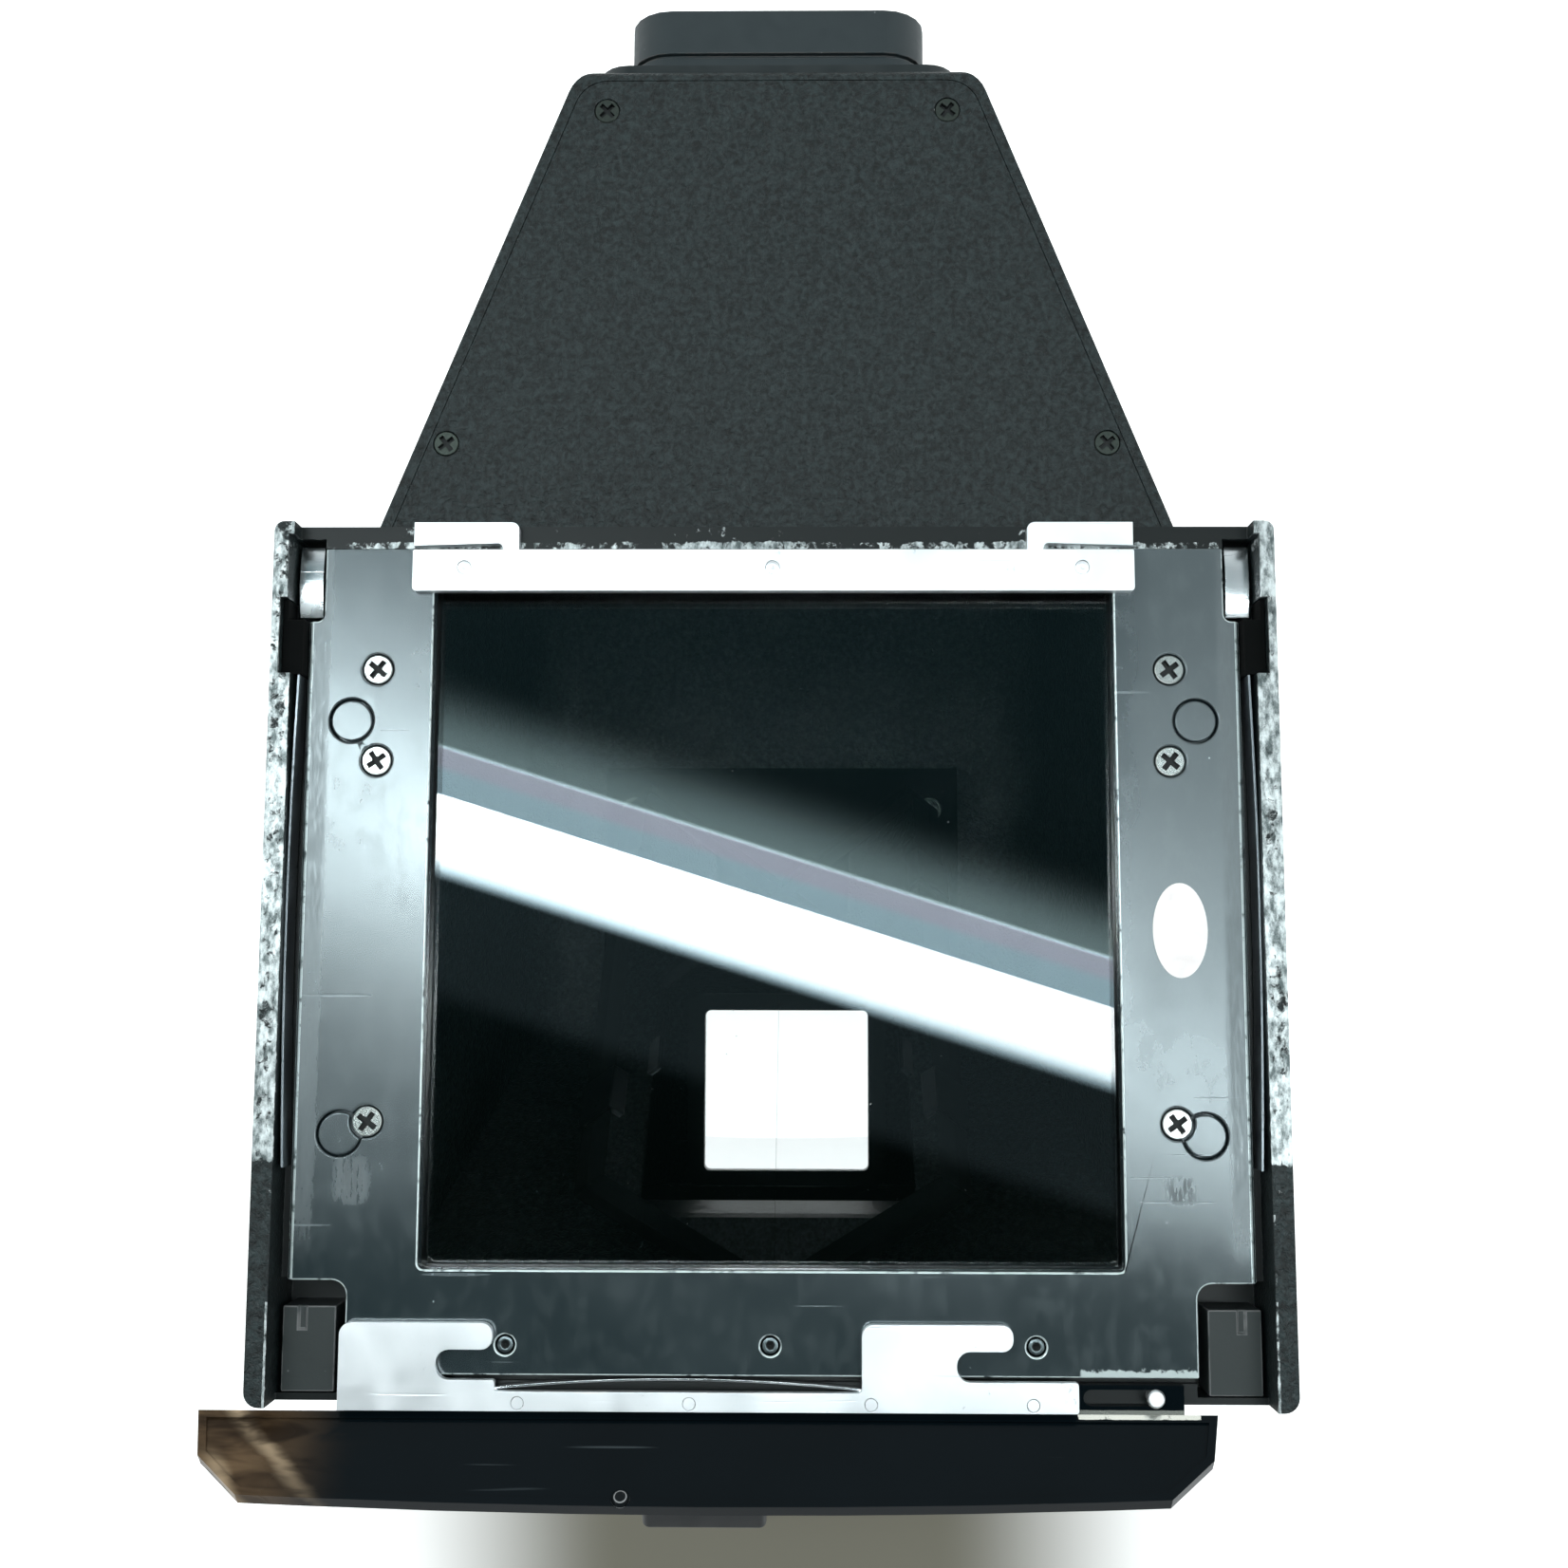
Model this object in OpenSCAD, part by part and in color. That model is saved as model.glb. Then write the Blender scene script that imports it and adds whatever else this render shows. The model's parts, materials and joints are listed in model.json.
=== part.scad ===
// Eye-level mirror finder for a 6x7 reflex camera, lying on its roof.
// Origin: where the optical axis of the square window crosses the seat face.
// +Z points out of the seat, towards the camera it locks onto; +Y points to the eyepiece.

/* [Seat] */
// Width over the two side walls
seat_w = 103.6; // [100:0.2:108]
// Front edge of the seat, ahead of the optical axis
seat_front = 48.5; // [47:0.5:52]
// Rear edge of the seat, behind the optical axis
seat_rear = 40.8; // [40:0.2:44]
// Side of the square window
window = 71; // [66:1:72]
// Thickness of the seat plate
plate_t = 2; // [1.6:0.1:2.5]
// Height of the side walls above the seat face
rim_h = 2.5; // [1.5:0.1:3.5]

/* [Housing] */
// Depth of the roof below the seat face
roof_z = 76; // [74:1:84]
// Thickness of the cast wall
wall = 2; // [1.6:0.1:2.6]
// Distance from the optical axis to the eyepiece end
tail_end = 100.2; // [96:0.2:106]
// Width of the eyepiece end
tail_w = 47; // [44:1:50]
// Depth of the tail's underside below the seat face
tail_z = 16; // [14:1:18]
// Depth of the eyepiece axis below the seat face
eye_z = 35; // [34:0.5:36]

/* [Lock slide] */
// Travel from open to locked
travel = 6.3; // [5:0.1:7]
// Length of the lock plate
lock_len = 98.8; // [96:0.2:104]
// Width of the lock plate along its slope
lock_slope = 10; // [8:0.5:12]
// Width of the release button
button_w = 12.1; // [10:0.1:14]
// Press of the release button
button_travel = 1.2; // [0.8:0.1:1.3]

/* [Hidden] */
$fn = 48;
cut = 0.5;                          // how far a cutting tool runs past a face
e = 0.05;                           // running gap between pieces that are fastened together

// Seat
half_w = seat_w / 2;
wall_in = half_w - 2.1;             // inner face of the side walls
plate_half = half_w - 3.2;          // side edge of the seat plate
plate_front = -seat_front + 2.75;
plate_rear = seat_rear - 2.4;
ledge_bottom = -plate_t - 5.5;      // underside of the flange that carries the plate
pocket_x = [half_w - 9.2, wall_in];
pocket_y = plate_front + 9.15;
screw_spots = [[41.2, 25.6], [41.1, 16.0], [41.0, -20.9]];
disc_spots = [[43.8, 20.2], [43.8, -22.1]];
disc_r = 2.15;
rivet_x = [-26.5, 0, 26.5];
front_rivet_y = -42.8;
glass_half = window / 2 + 1.8;
glass_t = 2;
lip_half = window / 2 + 0.4;
recess_x = [47, half_w - 1.5];
recess_y = [30.7, 39.5];
block_y = [24.8, 32.8];
spring_end_y = -25.4;
bar_y = [33.7, 38.1];
bar_x = 37.6;
bar_t = 1.2;
tab_x = [26.5, 37.5];
tab_y = [38.5, 41];
bar_rivet_x = [-32.2, 0, 32.2];
bar_rivet_y = 36.2;

// Housing outlines
slope_z = -34;                      // where the front face starts to lean back
belt_z = -24;                       // where the sides start to lean in
roof_front = -14;
roof_rear = 45;
roof_half = 36;
eye_half = 19;                      // half height of the eyepiece end
tail_root = 47;                     // half width of the tail where it leaves the seat

// Mirrors: the roof edge lies in the plane x = 0, on the line y + z = ridge_sum
ridge_sum = -60.4;
ridge_top = [0, -39.4, ridge_sum + 39.4];
ridge_len = 63.6;
mirror_w = 25;
mirror_t = 3;
mirror_gap = 0.02;                  // from each mirror to the plane between them
cradle_t = 2;
foot_z = -roof_z + wall + 2;
foot_spots = [[-21, -2], [21, -2], [-21, 18], [21, 18]];

// Eyepiece
bore_half = [16, 15.5];             // half size of the opening, across and up
frame_wall = 1.8;

// Lock slide, all at its open position
slide_x = -travel;                  // centre of the slide
flange_y = [plate_front - 0.65, -seat_front - 1.6];
flange_z = [-0.8, 0.2];
bend_y = -seat_front - 0.7;         // where the lock plate bends up out of its flange
hook_t = 0.9;
strip_y = [-49, -46];
slot_y = -47.6;
pin_r = 0.7;
pin_x = [38.15, -35];
lock_t = 1.5;
guide_h = 3;
guide_rivet = [8.3, 4.4];
stop_rivet_at = [-7.8, 9.1];

// Points of a circular arc, from angle a to angle b
function arc(c, r, a, b, n = 6) =
    [for (i = [0:n]) let (t = a + (b - a) * i / n) c + r * [cos(t), sin(t)]];

// A closed outline, anticlockwise, with corner i rounded to radius r[i]
function unit(v) = v / norm(v);
function corner(p, q, s, r, n) =
    let (u = unit(p - q), v = unit(s - q), half = acos(u * v) / 2,
         d = r / tan(half), c = q + unit(u + v) * r / sin(half),
         a = q + u * d - c, b = q + v * d - c,
         a0 = atan2(a.y, a.x), turn = atan2(a.x * b.y - a.y * b.x, a * b))
    r == 0 ? [q] : [for (i = [0:n]) c + r * [cos(a0 + turn * i / n), sin(a0 + turn * i / n)]];
function rounded(pts, r, n = 6) =
    let (m = len(pts))
    [for (i = [0:m - 1]) each corner(pts[(i + m - 1) % m], pts[i], pts[(i + 1) % m], r[i], n)];

// The same outline moved inwards by t
function inset(pts, t) =
    let (m = len(pts))
    [for (i = [0:m - 1])
        let (p = pts[(i + m - 1) % m], q = pts[i], s = pts[(i + 1) % m],
             u = unit(q - p), v = unit(s - q),
             nu = [-u.y, u.x], nv = [-v.y, v.x])
        q + t * (nu + nv) / (1 + nu * nv)];

plan = [[half_w, -seat_front], [half_w, seat_rear], [tail_root, seat_rear],
        [tail_w / 2, tail_end], [-tail_w / 2, tail_end], [-tail_root, seat_rear],
        [-half_w, seat_rear], [-half_w, -seat_front]];
plan_r = [1.5, 1, 0, 4, 4, 0, 1, 1.5];
side = [[-seat_front, rim_h], [-seat_front, slope_z], [roof_front, -roof_z],
        [roof_rear, -roof_z], [tail_end, -eye_z - eye_half], [tail_end, -tail_z],
        [seat_rear, -tail_z], [seat_rear, rim_h]];
side_r = [0, 12, 10, 22, 5, 0.8, 0, 0];
front = [[-half_w, rim_h], [-half_w, belt_z], [-roof_half, -roof_z],
         [roof_half, -roof_z], [half_w, belt_z], [half_w, rim_h]];
front_r = [0, 14, 9, 9, 14, 0];

// Three crossed extrusions: plan view, side view and front view
module casing(t, top) {
    intersection() {
        translate([0, 0, -roof_z - cut])
            linear_extrude(roof_z + top + cut) polygon(rounded(inset(plan, t), plan_r));
        translate([-half_w - cut, 0, 0]) rotate([90, 0, 90])
            linear_extrude(seat_w + 2 * cut) polygon(rounded(inset(side, t), side_r));
        translate([0, tail_end + cut, 0]) rotate([90, 0, 0])
            linear_extrude(tail_end + seat_front + 2 * cut)
                polygon(rounded(inset(front, t), front_r));
    }
}

// A box from its low corner to its high corner
module box(a, b) { translate(a) cube(b - a); }

module both_sides() {
    children();
    mirror([1, 0, 0]) children();
}

// Trapezoid of the tail's underside, t inside the casing's edge, from y0 to the end
module tail_plan(t, y0) {
    intersection() {
        polygon(rounded(inset(plan, t), plan_r));
        translate([-seat_w, y0]) square([2 * seat_w, tail_end]);
    }
}

module rounded_box_2d(w, h, r) {
    polygon(rounded([[w, -h], [w, h], [-w, h], [-w, -h]], [r, r, r, r], 5));
}

// Upright rounded frame across the eyepiece axis, from y0 to y1
module eye_tube(w, h, r, y0, y1) {
    translate([0, y1, -eye_z]) rotate([90, 0, 0]) linear_extrude(y1 - y0) rounded_box_2d(w, h, r);
}

cover_y = seat_rear + 0.5;
cover_t = 1.5;
cover_rim = 1.3;
cover_spots = [[38, 54.9], [20, 95.2]];

module housing_shell() color([0.07, 0.08, 0.08]) {
    difference() {
        union() {
            difference() {
                casing(0, rim_h);
                // hollow below the flange
                intersection() {
                    casing(wall, rim_h);
                    box([-seat_w, -seat_front, -roof_z], [seat_w, tail_end, ledge_bottom]);
                }
                // opening under the tail cover
                translate([0, 0, -tail_z - wall - 1.2])
                    linear_extrude(wall + 1.2 + cut) tail_plan(cover_rim + 2.6, cover_y + 2.6);
            }
            // screw posts under the tail cover
            for (s = cover_spots) both_sides()
                translate([s.x, s.y, -tail_z - 9]) cylinder(r = 2.3, h = 9 - cover_t);
            // posts on the roof for the mirror cradle
            for (s = foot_spots)
                translate([s.x, s.y, -roof_z + 1]) cylinder(r = 2.6, h = foot_z + roof_z - 1);
        }
        // seat between the side walls
        box([-wall_in, -seat_front - cut, 0], [wall_in, seat_rear + cut, rim_h + cut]);
        box([-wall_in, -seat_front + 2, -plate_t], [wall_in, plate_rear + e, cut]);
        box([-wall_in, -seat_front - cut, -1.15], [wall_in, -seat_front + 4, cut]);
        // window through the flange, with a step that holds the glass
        box([-lip_half, -lip_half, ledge_bottom - cut], [lip_half, lip_half, 0]);
        box([-glass_half, -glass_half, -plate_t - glass_t - 0.6], [glass_half, glass_half, 0]);
        both_sides() {
            // rear corner recess, spring block notch and front corner pocket
            box([recess_x[0], recess_y[0], -4], [recess_x[1], recess_y[1], rim_h + cut]);
            box([wall_in - cut, block_y[0], -plate_t], [half_w - 0.8, block_y[1], rim_h + cut]);
            box([pocket_x[0], -seat_front + 0.7, -6], [pocket_x[1], pocket_y, cut]);
            for (s = screw_spots)
                translate([s.x, s.y, -plate_t - 4.5]) cylinder(r = 0.85, h = 5);
            for (s = cover_spots)
                translate([s.x, s.y, -tail_z - 7]) cylinder(r = 0.85, h = 8);
        }
        for (x = rivet_x) translate([x, front_rivet_y, -5]) cylinder(r = 1, h = 5);
        for (x = pin_x) translate([x, slot_y, -5.5]) cylinder(r = pin_r + 0.03, h = 6);
        for (s = foot_spots)
            translate([s.x, s.y, -roof_z + 1]) cylinder(r = 0.85, h = 6);
        // seat of the tail cover
        translate([0, 0, -tail_z - cover_t])
            linear_extrude(cover_t + cut) tail_plan(cover_rim - e, cover_y - e);
        // eyepiece opening and its four screw holes
        eye_tube(bore_half.x + frame_wall + e, bore_half.y + frame_wall + e, 2.5,
                 tail_end - 6, tail_end + cut);
        for (x = [-19.6, 19.6], z = [-13, 13])
            translate([x, tail_end + cut, -eye_z + z]) rotate([90, 0, 0]) cylinder(r = 0.65, h = 6);
    }
}

// Countersunk screw with a cross recess, head up, top of the head at z = 0
module screw(head_r, head_h, shank_r, length) {
    difference() {
        union() {
            translate([0, 0, -0.25]) cylinder(r = head_r, h = 0.25);
            translate([0, 0, -head_h]) cylinder(r1 = shank_r, r2 = head_r, h = head_h - 0.25);
            translate([0, 0, -length]) cylinder(r = shank_r, h = length - head_h);
        }
        for (a = [45, 135]) rotate([0, 0, a]) translate([0, 0, -0.7 + cut])
            cube([1.25 * head_r, 0.32 * head_r, 1.4], center = true);
    }
}

module screw_sink(head_r, head_h, shank_r) {
    translate([0, 0, -0.25 - e]) cylinder(r = head_r + e, h = cut + 0.25 + e);
    translate([0, 0, -head_h - e]) cylinder(r1 = shank_r + e, r2 = head_r + e, h = head_h - 0.25);
    translate([0, 0, -8]) cylinder(r = shank_r + e, h = 8);
}

module bottom_cover() color([0.09, 0.1, 0.1]) {
    difference() {
        translate([0, 0, -tail_z - cover_t])
            linear_extrude(cover_t) tail_plan(cover_rim, cover_y);
        both_sides() for (s = cover_spots)
            translate([s.x, s.y, -tail_z]) screw_sink(1.45, 1.1, 0.8);
    }
}

module cover_screws() color([0.12, 0.13, 0.13]) {
    both_sides() for (s = cover_spots)
        translate([s.x, s.y, -tail_z]) screw(1.45, 1.1, 0.8, 6);
}

module seat_plate() color([0.16, 0.19, 0.2]) {
    edge = plate_half;
    difference() {
        translate([0, 0, -plate_t]) linear_extrude(plate_t)
            polygon([[-edge, plate_front], [edge, plate_front],
                     [edge, plate_rear], [-edge, plate_rear]]);
        // window with small corner radii
        translate([0, 0, -plate_t - cut]) linear_extrude(plate_t + 2 * cut)
            rounded_box_2d(window / 2, window / 2, 0.6);
        both_sides() {
            // front corner notch, rounded at its inner corner
            translate([0, 0, -plate_t - cut]) linear_extrude(plate_t + 2 * cut)
                polygon(rounded([[pocket_x[0], pocket_y], [pocket_x[0], plate_front - 1],
                                 [half_w, plate_front - 1], [half_w, pocket_y]], [1.5, 0, 0, 0]));
            // rear corner notch
            translate([0, 0, -plate_t - cut]) linear_extrude(plate_t + 2 * cut)
                polygon(rounded([[recess_x[0], recess_y[0]], [half_w, recess_y[0]],
                                 [half_w, recess_y[1]], [recess_x[0], recess_y[1]]],
                                [0.8, 0, 0, 0]));
            for (s = screw_spots) translate([s.x, s.y, 0]) screw_sink(1.65, 1.2, 0.8);
            for (s = disc_spots) translate([s.x, s.y, -1]) cylinder(r = disc_r + 0.2, h = 2);
            // chamfer along the side edge
            translate([edge - 0.4, plate_front - 1, 0]) rotate([0, 45, 0])
                cube([2, plate_rear - plate_front + 2, 2]);
        }
        for (x = rivet_x) translate([x, front_rivet_y, -plate_t - cut])
            cylinder(r = 0.95 + e, h = plate_t + 2 * cut);
        for (x = bar_rivet_x) translate([x, bar_rivet_y, -plate_t - cut])
            cylinder(r = 0.75, h = plate_t + 2 * cut);
    }
}

module plate_screws() color([0.62, 0.64, 0.66]) {
    both_sides() for (s = screw_spots) translate([s.x, s.y, 0]) screw(1.65, 1.2, 0.8, 6);
}

// Discs that close the jig holes in the plate; screws bite into the edge of the lower pair
module index_discs() color([0.2, 0.23, 0.24]) {
    both_sides() difference() {
        for (s = disc_spots) translate([s.x, s.y, -1]) cylinder(r = disc_r, h = 0.9);
        translate([screw_spots[2].x, screw_spots[2].y, -3]) cylinder(r = 1.8, h = 6);
    }
}

module front_rivets() color([0.35, 0.38, 0.4]) {
    for (x = rivet_x) translate([x, front_rivet_y, -4.5]) difference() {
        cylinder(r = 0.95, h = 4.35);
        translate([0, 0, 4.6]) sphere(r = 0.7);
    }
}

module corner_block() {
    difference() {
        box([pocket_x[0] + 1.2, -seat_front + 0.8, -6], [pocket_x[1] - 0.5, pocket_y - 2.7, -1.2]);
        translate([pocket_x[0] + 4.2, pocket_y - 5, -1.5]) cube([0.8, 4, 1]);
    }
}
module corner_block_left() color([0.13, 0.15, 0.15]) mirror([1, 0, 0]) corner_block();
module corner_block_right() color([0.13, 0.15, 0.15]) corner_block();

module window_glass() color([0.25, 0.3, 0.32, 0.5]) {
    g = glass_half - e;
    box([-g, -g, -plate_t - glass_t], [g, g, -plate_t]);
}

module window_gasket() color([0.1, 0.1, 0.1]) {
    g = glass_half - e;
    z = -plate_t - glass_t;
    difference() {
        box([-g, -g, z - 0.6], [g, g, z]);
        box([-lip_half, -lip_half, z - 1], [lip_half, lip_half, z + 1]);
    }
}

// Chrome bar with two spring tabs that grip the camera's rear rail
module rear_hook_bar() color([0.85, 0.86, 0.87]) {
    difference() {
        linear_extrude(bar_t) union() {
            polygon(rounded([[-bar_x, bar_y[0]], [bar_x, bar_y[0]],
                             [bar_x, bar_y[1]], [-bar_x, bar_y[1]]], [0.4, 0.4, 0.2, 0.2], 3));
            for (m = [-1, 1])
                polygon(m == 1
                    ? [[tab_x[0], bar_y[1] - 0.1], [tab_x[0] + 1.6, bar_y[1] - 0.1],
                       each arc([tab_x[0] + 2.2, tab_y[0] - 0.25], 0.5, 180, 90, 4),
                       [tab_x[1], tab_y[0]], [tab_x[1], tab_y[1]],
                       each arc([tab_x[0] + 0.8, tab_y[1] - 0.8], 0.8, 90, 180, 5)]
                    : [for (p = [[tab_x[0], bar_y[1] - 0.1],
                                 each arc([tab_x[0] + 0.8, tab_y[1] - 0.8], 0.8, 180, 90, 5),
                                 [tab_x[1], tab_y[1]], [tab_x[1], tab_y[0]],
                                 each arc([tab_x[0] + 2.2, tab_y[0] - 0.25], 0.5, 90, 180, 4),
                                 [tab_x[0] + 1.6, bar_y[1] - 0.1]]) [-p.x, p.y]]);
        }
        for (x = bar_rivet_x) translate([x, bar_rivet_y, -cut]) cylinder(r = 0.75, h = 3);
        translate([-bar_x - 1, bar_y[0] - 0.4, bar_t]) rotate([45, 0, 0])
            cube([2 * bar_x + 2, 0.6, 0.6]);
    }
}

module hook_bar_rivets() color([0.8, 0.81, 0.82]) {
    for (x = bar_rivet_x) translate([x, bar_rivet_y, -1.5]) difference() {
        cylinder(r = 0.7, h = 1.5 + bar_t - 0.05);
        translate([0, 0, 3.0]) sphere(r = 0.6);
    }
}

// Arched leaf that lies in the rear corner recess
module corner_spring() {
    y0 = recess_y[0] + 0.6;
    y1 = recess_y[1] - 0.6;
    r = 14;
    c = [(y0 + y1) / 2, -0.7 - r];
    spread = asin((y1 - y0) / 2 / r);
    translate([recess_x[0] + 0.4, 0, 0]) rotate([90, 0, 90])
        linear_extrude(recess_x[1] - recess_x[0] - 0.8)
            polygon([each arc(c, r, 90 - spread, 90 + spread, 10),
                     each arc(c, r - 0.3, 90 + spread, 90 - spread, 10)]);
    // foot that stands on the recess floor
    box([recess_x[0] + 0.9, c.x - 1.5, -4], [recess_x[1] - 0.9, c.x + 1.5, -0.85]);
}
module corner_spring_left() color([0.8, 0.81, 0.82]) mirror([1, 0, 0]) corner_spring();
module corner_spring_right() color([0.8, 0.81, 0.82]) corner_spring();

// Long bowed leaf in the channel between the plate and the side wall
module side_spring() {
    chord = block_y[0] - spring_end_y;
    bow = 0.45;
    r = (chord * chord / 4 + bow * bow) / (2 * bow);
    c = [wall_in - 0.05 - r, (block_y[0] + spring_end_y) / 2];
    spread = asin(chord / 2 / r);
    translate([0, 0, -1.6]) linear_extrude(3)
        polygon([each arc(c, r, -spread, spread, 16), each arc(c, r - 0.25, spread, -spread, 16)]);
}
module side_spring_left() color([0.3, 0.32, 0.33]) mirror([1, 0, 0]) side_spring();
module side_spring_right() color([0.3, 0.32, 0.33]) side_spring();

// Block behind the side spring's end, cut away beside the corner spring
module spring_block() {
    difference() {
        box([plate_half + e, block_y[0] + e, -plate_t], [half_w - 0.85, block_y[1] - e, 1.2]);
        box([plate_half - 1, recess_y[0] - e, -plate_t - 1], [recess_x[1] + e, block_y[1] + 1, 2]);
    }
}
module spring_block_left() color([0.04, 0.04, 0.04]) mirror([1, 0, 0]) spring_block();
module spring_block_right() color([0.04, 0.04, 0.04]) spring_block();

// Blank oval label
module inspection_label() color([0.95, 0.93, 0.91]) {
    translate([41.7, -1.4, 0]) linear_extrude(0.1)
        polygon([for (i = [0:47]) [2.8 * cos(i * 7.5), 4.85 * sin(i * 7.5)]]);
}

// Fixed pins that the slide runs on; the right one has a head that keeps the slide down
module guide_pins() color([0.82, 0.83, 0.84]) {
    for (x = pin_x) translate([x, slot_y, -5]) cylinder(r = pin_r, h = 5);
    translate([pin_x[0], slot_y, -0.1]) cylinder(r = pin_r, h = 0.7);
    translate([pin_x[0], slot_y, 0.45]) cylinder(r1 = 0.95, r2 = 0.75, h = 0.5);
}

// Places a child built on a mirror face: x across the mirror, y down the roof edge, z out
module on_mirror(m) {
    mirror([m, 0, 0]) translate(ridge_top) rotate([-45, 0, 0]) rotate([0, -45, 0]) children();
}
module mirror_pane() translate([mirror_gap, 0, -mirror_t])
    cube([mirror_w - mirror_gap, ridge_len, mirror_t]);
module mirror_left() color([0.75, 0.78, 0.8]) on_mirror(1) mirror_pane();
module mirror_right() color([0.75, 0.78, 0.8]) on_mirror(0) mirror_pane();

// Angled profile behind the mirrors: its legs run from "inner" to "outer" behind the faces
module cradle_profile(y0, length, inner) {
    outer = mirror_t + cradle_t;
    translate(ridge_top) rotate([-45, 0, 0]) translate([0, y0 + length, 0]) rotate([90, 0, 0])
        linear_extrude(length) rotate(45)
            polygon([[-outer, -outer], [mirror_w, -outer], [mirror_w, inner],
                     [inner, inner], [inner, mirror_w], [-outer, mirror_w]]);
}

module mirror_cradle() color([0.1, 0.11, 0.11]) {
    rib = [[-35.5, -19.6], [-35.5, -36], [-10.5, -70.5], [-10.5, foot_z + 0.8], [18, foot_z + 0.8],
           [16, -71]];
    difference() {
        union() {
            cradle_profile(0, ridge_len + e, -mirror_t);
            // lip that carries the mirrors' lower ends
            cradle_profile(ridge_len + e, 1.5, 1);
            both_sides() translate([11, 0, 0]) rotate([90, 0, 90]) linear_extrude(2) polygon(rib);
            box([-25, -8, foot_z], [25, 24, foot_z + 1.6]);
        }
        for (s = foot_spots) translate([s.x, s.y, foot_z - 1]) cylinder(r = 0.9, h = 4);
    }
}

// Spring clips over the outer edges of the mirrors
module mirror_clips() color([0.7, 0.71, 0.72]) {
    for (m = [0, 1]) on_mirror(m) for (y = [12, ridge_len - 14]) {
        translate([mirror_w - 1.5, y - 3, 0]) cube([2.1, 6, 0.4]);
        translate([mirror_w + e, y - 3, -5]) cube([0.55, 6, 5.2]);
    }
}

module cradle_screws() color([0.7, 0.71, 0.72]) {
    for (s = foot_spots) translate([s.x, s.y, foot_z + 1.6]) difference() {
        union() {
            cylinder(r = 1.7, h = 1.1);
            translate([0, 0, -4]) cylinder(r = 0.8, h = 4.2);
        }
        for (a = [0, 90]) rotate([0, 0, a]) translate([0, 0, 1]) cube([2, 0.5, 0.9], center = true);
    }
}

// Light baffle across the tail
baffle_y = 50;
module tail_baffle() color([0.05, 0.05, 0.05]) {
    difference() {
        intersection() {
            casing(wall + e, 0);
            box([-seat_w, baffle_y, -roof_z], [seat_w, baffle_y + 1.2, -tail_z - wall - 1.3]);
        }
        box([-23, baffle_y - 1, -57], [23, baffle_y + 3, -21.5]);
    }
}

flange_half = [21.2, 17.4];
flange_t = 1.5;
module eyepiece_frame() color([0.08, 0.08, 0.08]) {
    w = bore_half.x + frame_wall;
    h = bore_half.y + frame_wall;
    difference() {
        union() {
            eye_tube(w, h, 2.4, tail_end - 16, tail_end + 0.2);
            eye_tube(flange_half.x, flange_half.y, 3.5, tail_end, tail_end + flange_t);
        }
        eye_tube(bore_half.x, bore_half.y, 1.2, tail_end - 13, tail_end + 3);
        eye_tube(bore_half.x - 1.2, bore_half.y - 1.2, 1, tail_end - 17, tail_end - 12);
        for (x = [-19.6, 19.6], z = [-13, 13])
            translate([x, tail_end + flange_t, -eye_z + z]) rotate([-90, 0, 0])
                screw_sink(1.1, 0.9, 0.6);
    }
}

module eyepiece_screws() color([0.15, 0.15, 0.15]) {
    for (x = [-19.6, 19.6], z = [-13, 13])
        translate([x, tail_end + flange_t, -eye_z + z]) rotate([-90, 0, 0])
            screw(1.1, 0.9, 0.6, 5);
}

// A lens cut square, one face flat towards y0 and one crowned towards +Y
module square_lens(y0, edge, r) {
    w = bore_half.x - e;
    h = bore_half.y - e;
    crown = r - sqrt(r * r - w * w - h * h);
    intersection() {
        eye_tube(w, h, 1.1, y0, y0 + edge + crown + 1);
        translate([0, y0 + edge + crown - r, -eye_z]) sphere(r = r, $fn = 300);
    }
}
module field_lens() color([0.7, 0.8, 0.85, 0.4]) square_lens(tail_end - 13, 1.5, 70);
module eye_lens() color([0.7, 0.8, 0.85, 0.4]) square_lens(tail_end - 6.6, 1.5, 90);

module lens_retainer() color([0.06, 0.06, 0.06]) {
    difference() {
        eye_tube(bore_half.x - e, bore_half.y - e, 1.1, tail_end - 2.2, tail_end + 1);
        eye_tube(bore_half.x - 1, bore_half.y - 1, 1, tail_end - 4, tail_end + 2);
    }
}

// Rubber eyecup pressed over the eyepiece frame
cup_len = 7;
module eyecup() color([0.03, 0.03, 0.03]) {
    y0 = tail_end + flange_t;
    difference() {
        union() {
            eye_tube(17.2, 16.9, 4, y0, y0 + 1.2);
            eye_tube(17.6, 17.2, 5, y0 + 1.6, y0 + cup_len);
            eye_tube(16.8, 16.5, 4, y0 + 1, y0 + 2);
        }
        eye_tube(14.6, 14.2, 3, y0 - 1, y0 + cup_len + 1);
        eye_tube(15.8, 15.4, 3, y0 + cup_len - 2, y0 + cup_len + 1);
    }
}

// Places a child on the lock plate: x along it, y up its slope, z out of the face seen from the seat
module on_slope() {
    translate([slide_x, bend_y, flange_z[1]]) rotate([135, 0, 0]) mirror([0, 0, 1]) children();
}

// Outline of the lock plate's leaf, t inside its edge; its outer edge bulges a little
module leaf_2d(t) {
    half = lock_len / 2;
    root = half + 1.2;              // half its length at the bend
    chamfer = [4.7, 4.1];
    bulge = 1;
    end = half - chamfer.x;
    r = (end * end + bulge * bulge) / (2 * bulge);
    spread = asin(end / r);
    side_top = lock_slope - bulge - chamfer.y;
    polygon(inset([[-root, 0], [root, 0], [half, side_top],
                   each arc([0, lock_slope - r], r, 90 - spread, 90 + spread, 14),
                   [-half, side_top]], t));
}

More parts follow.
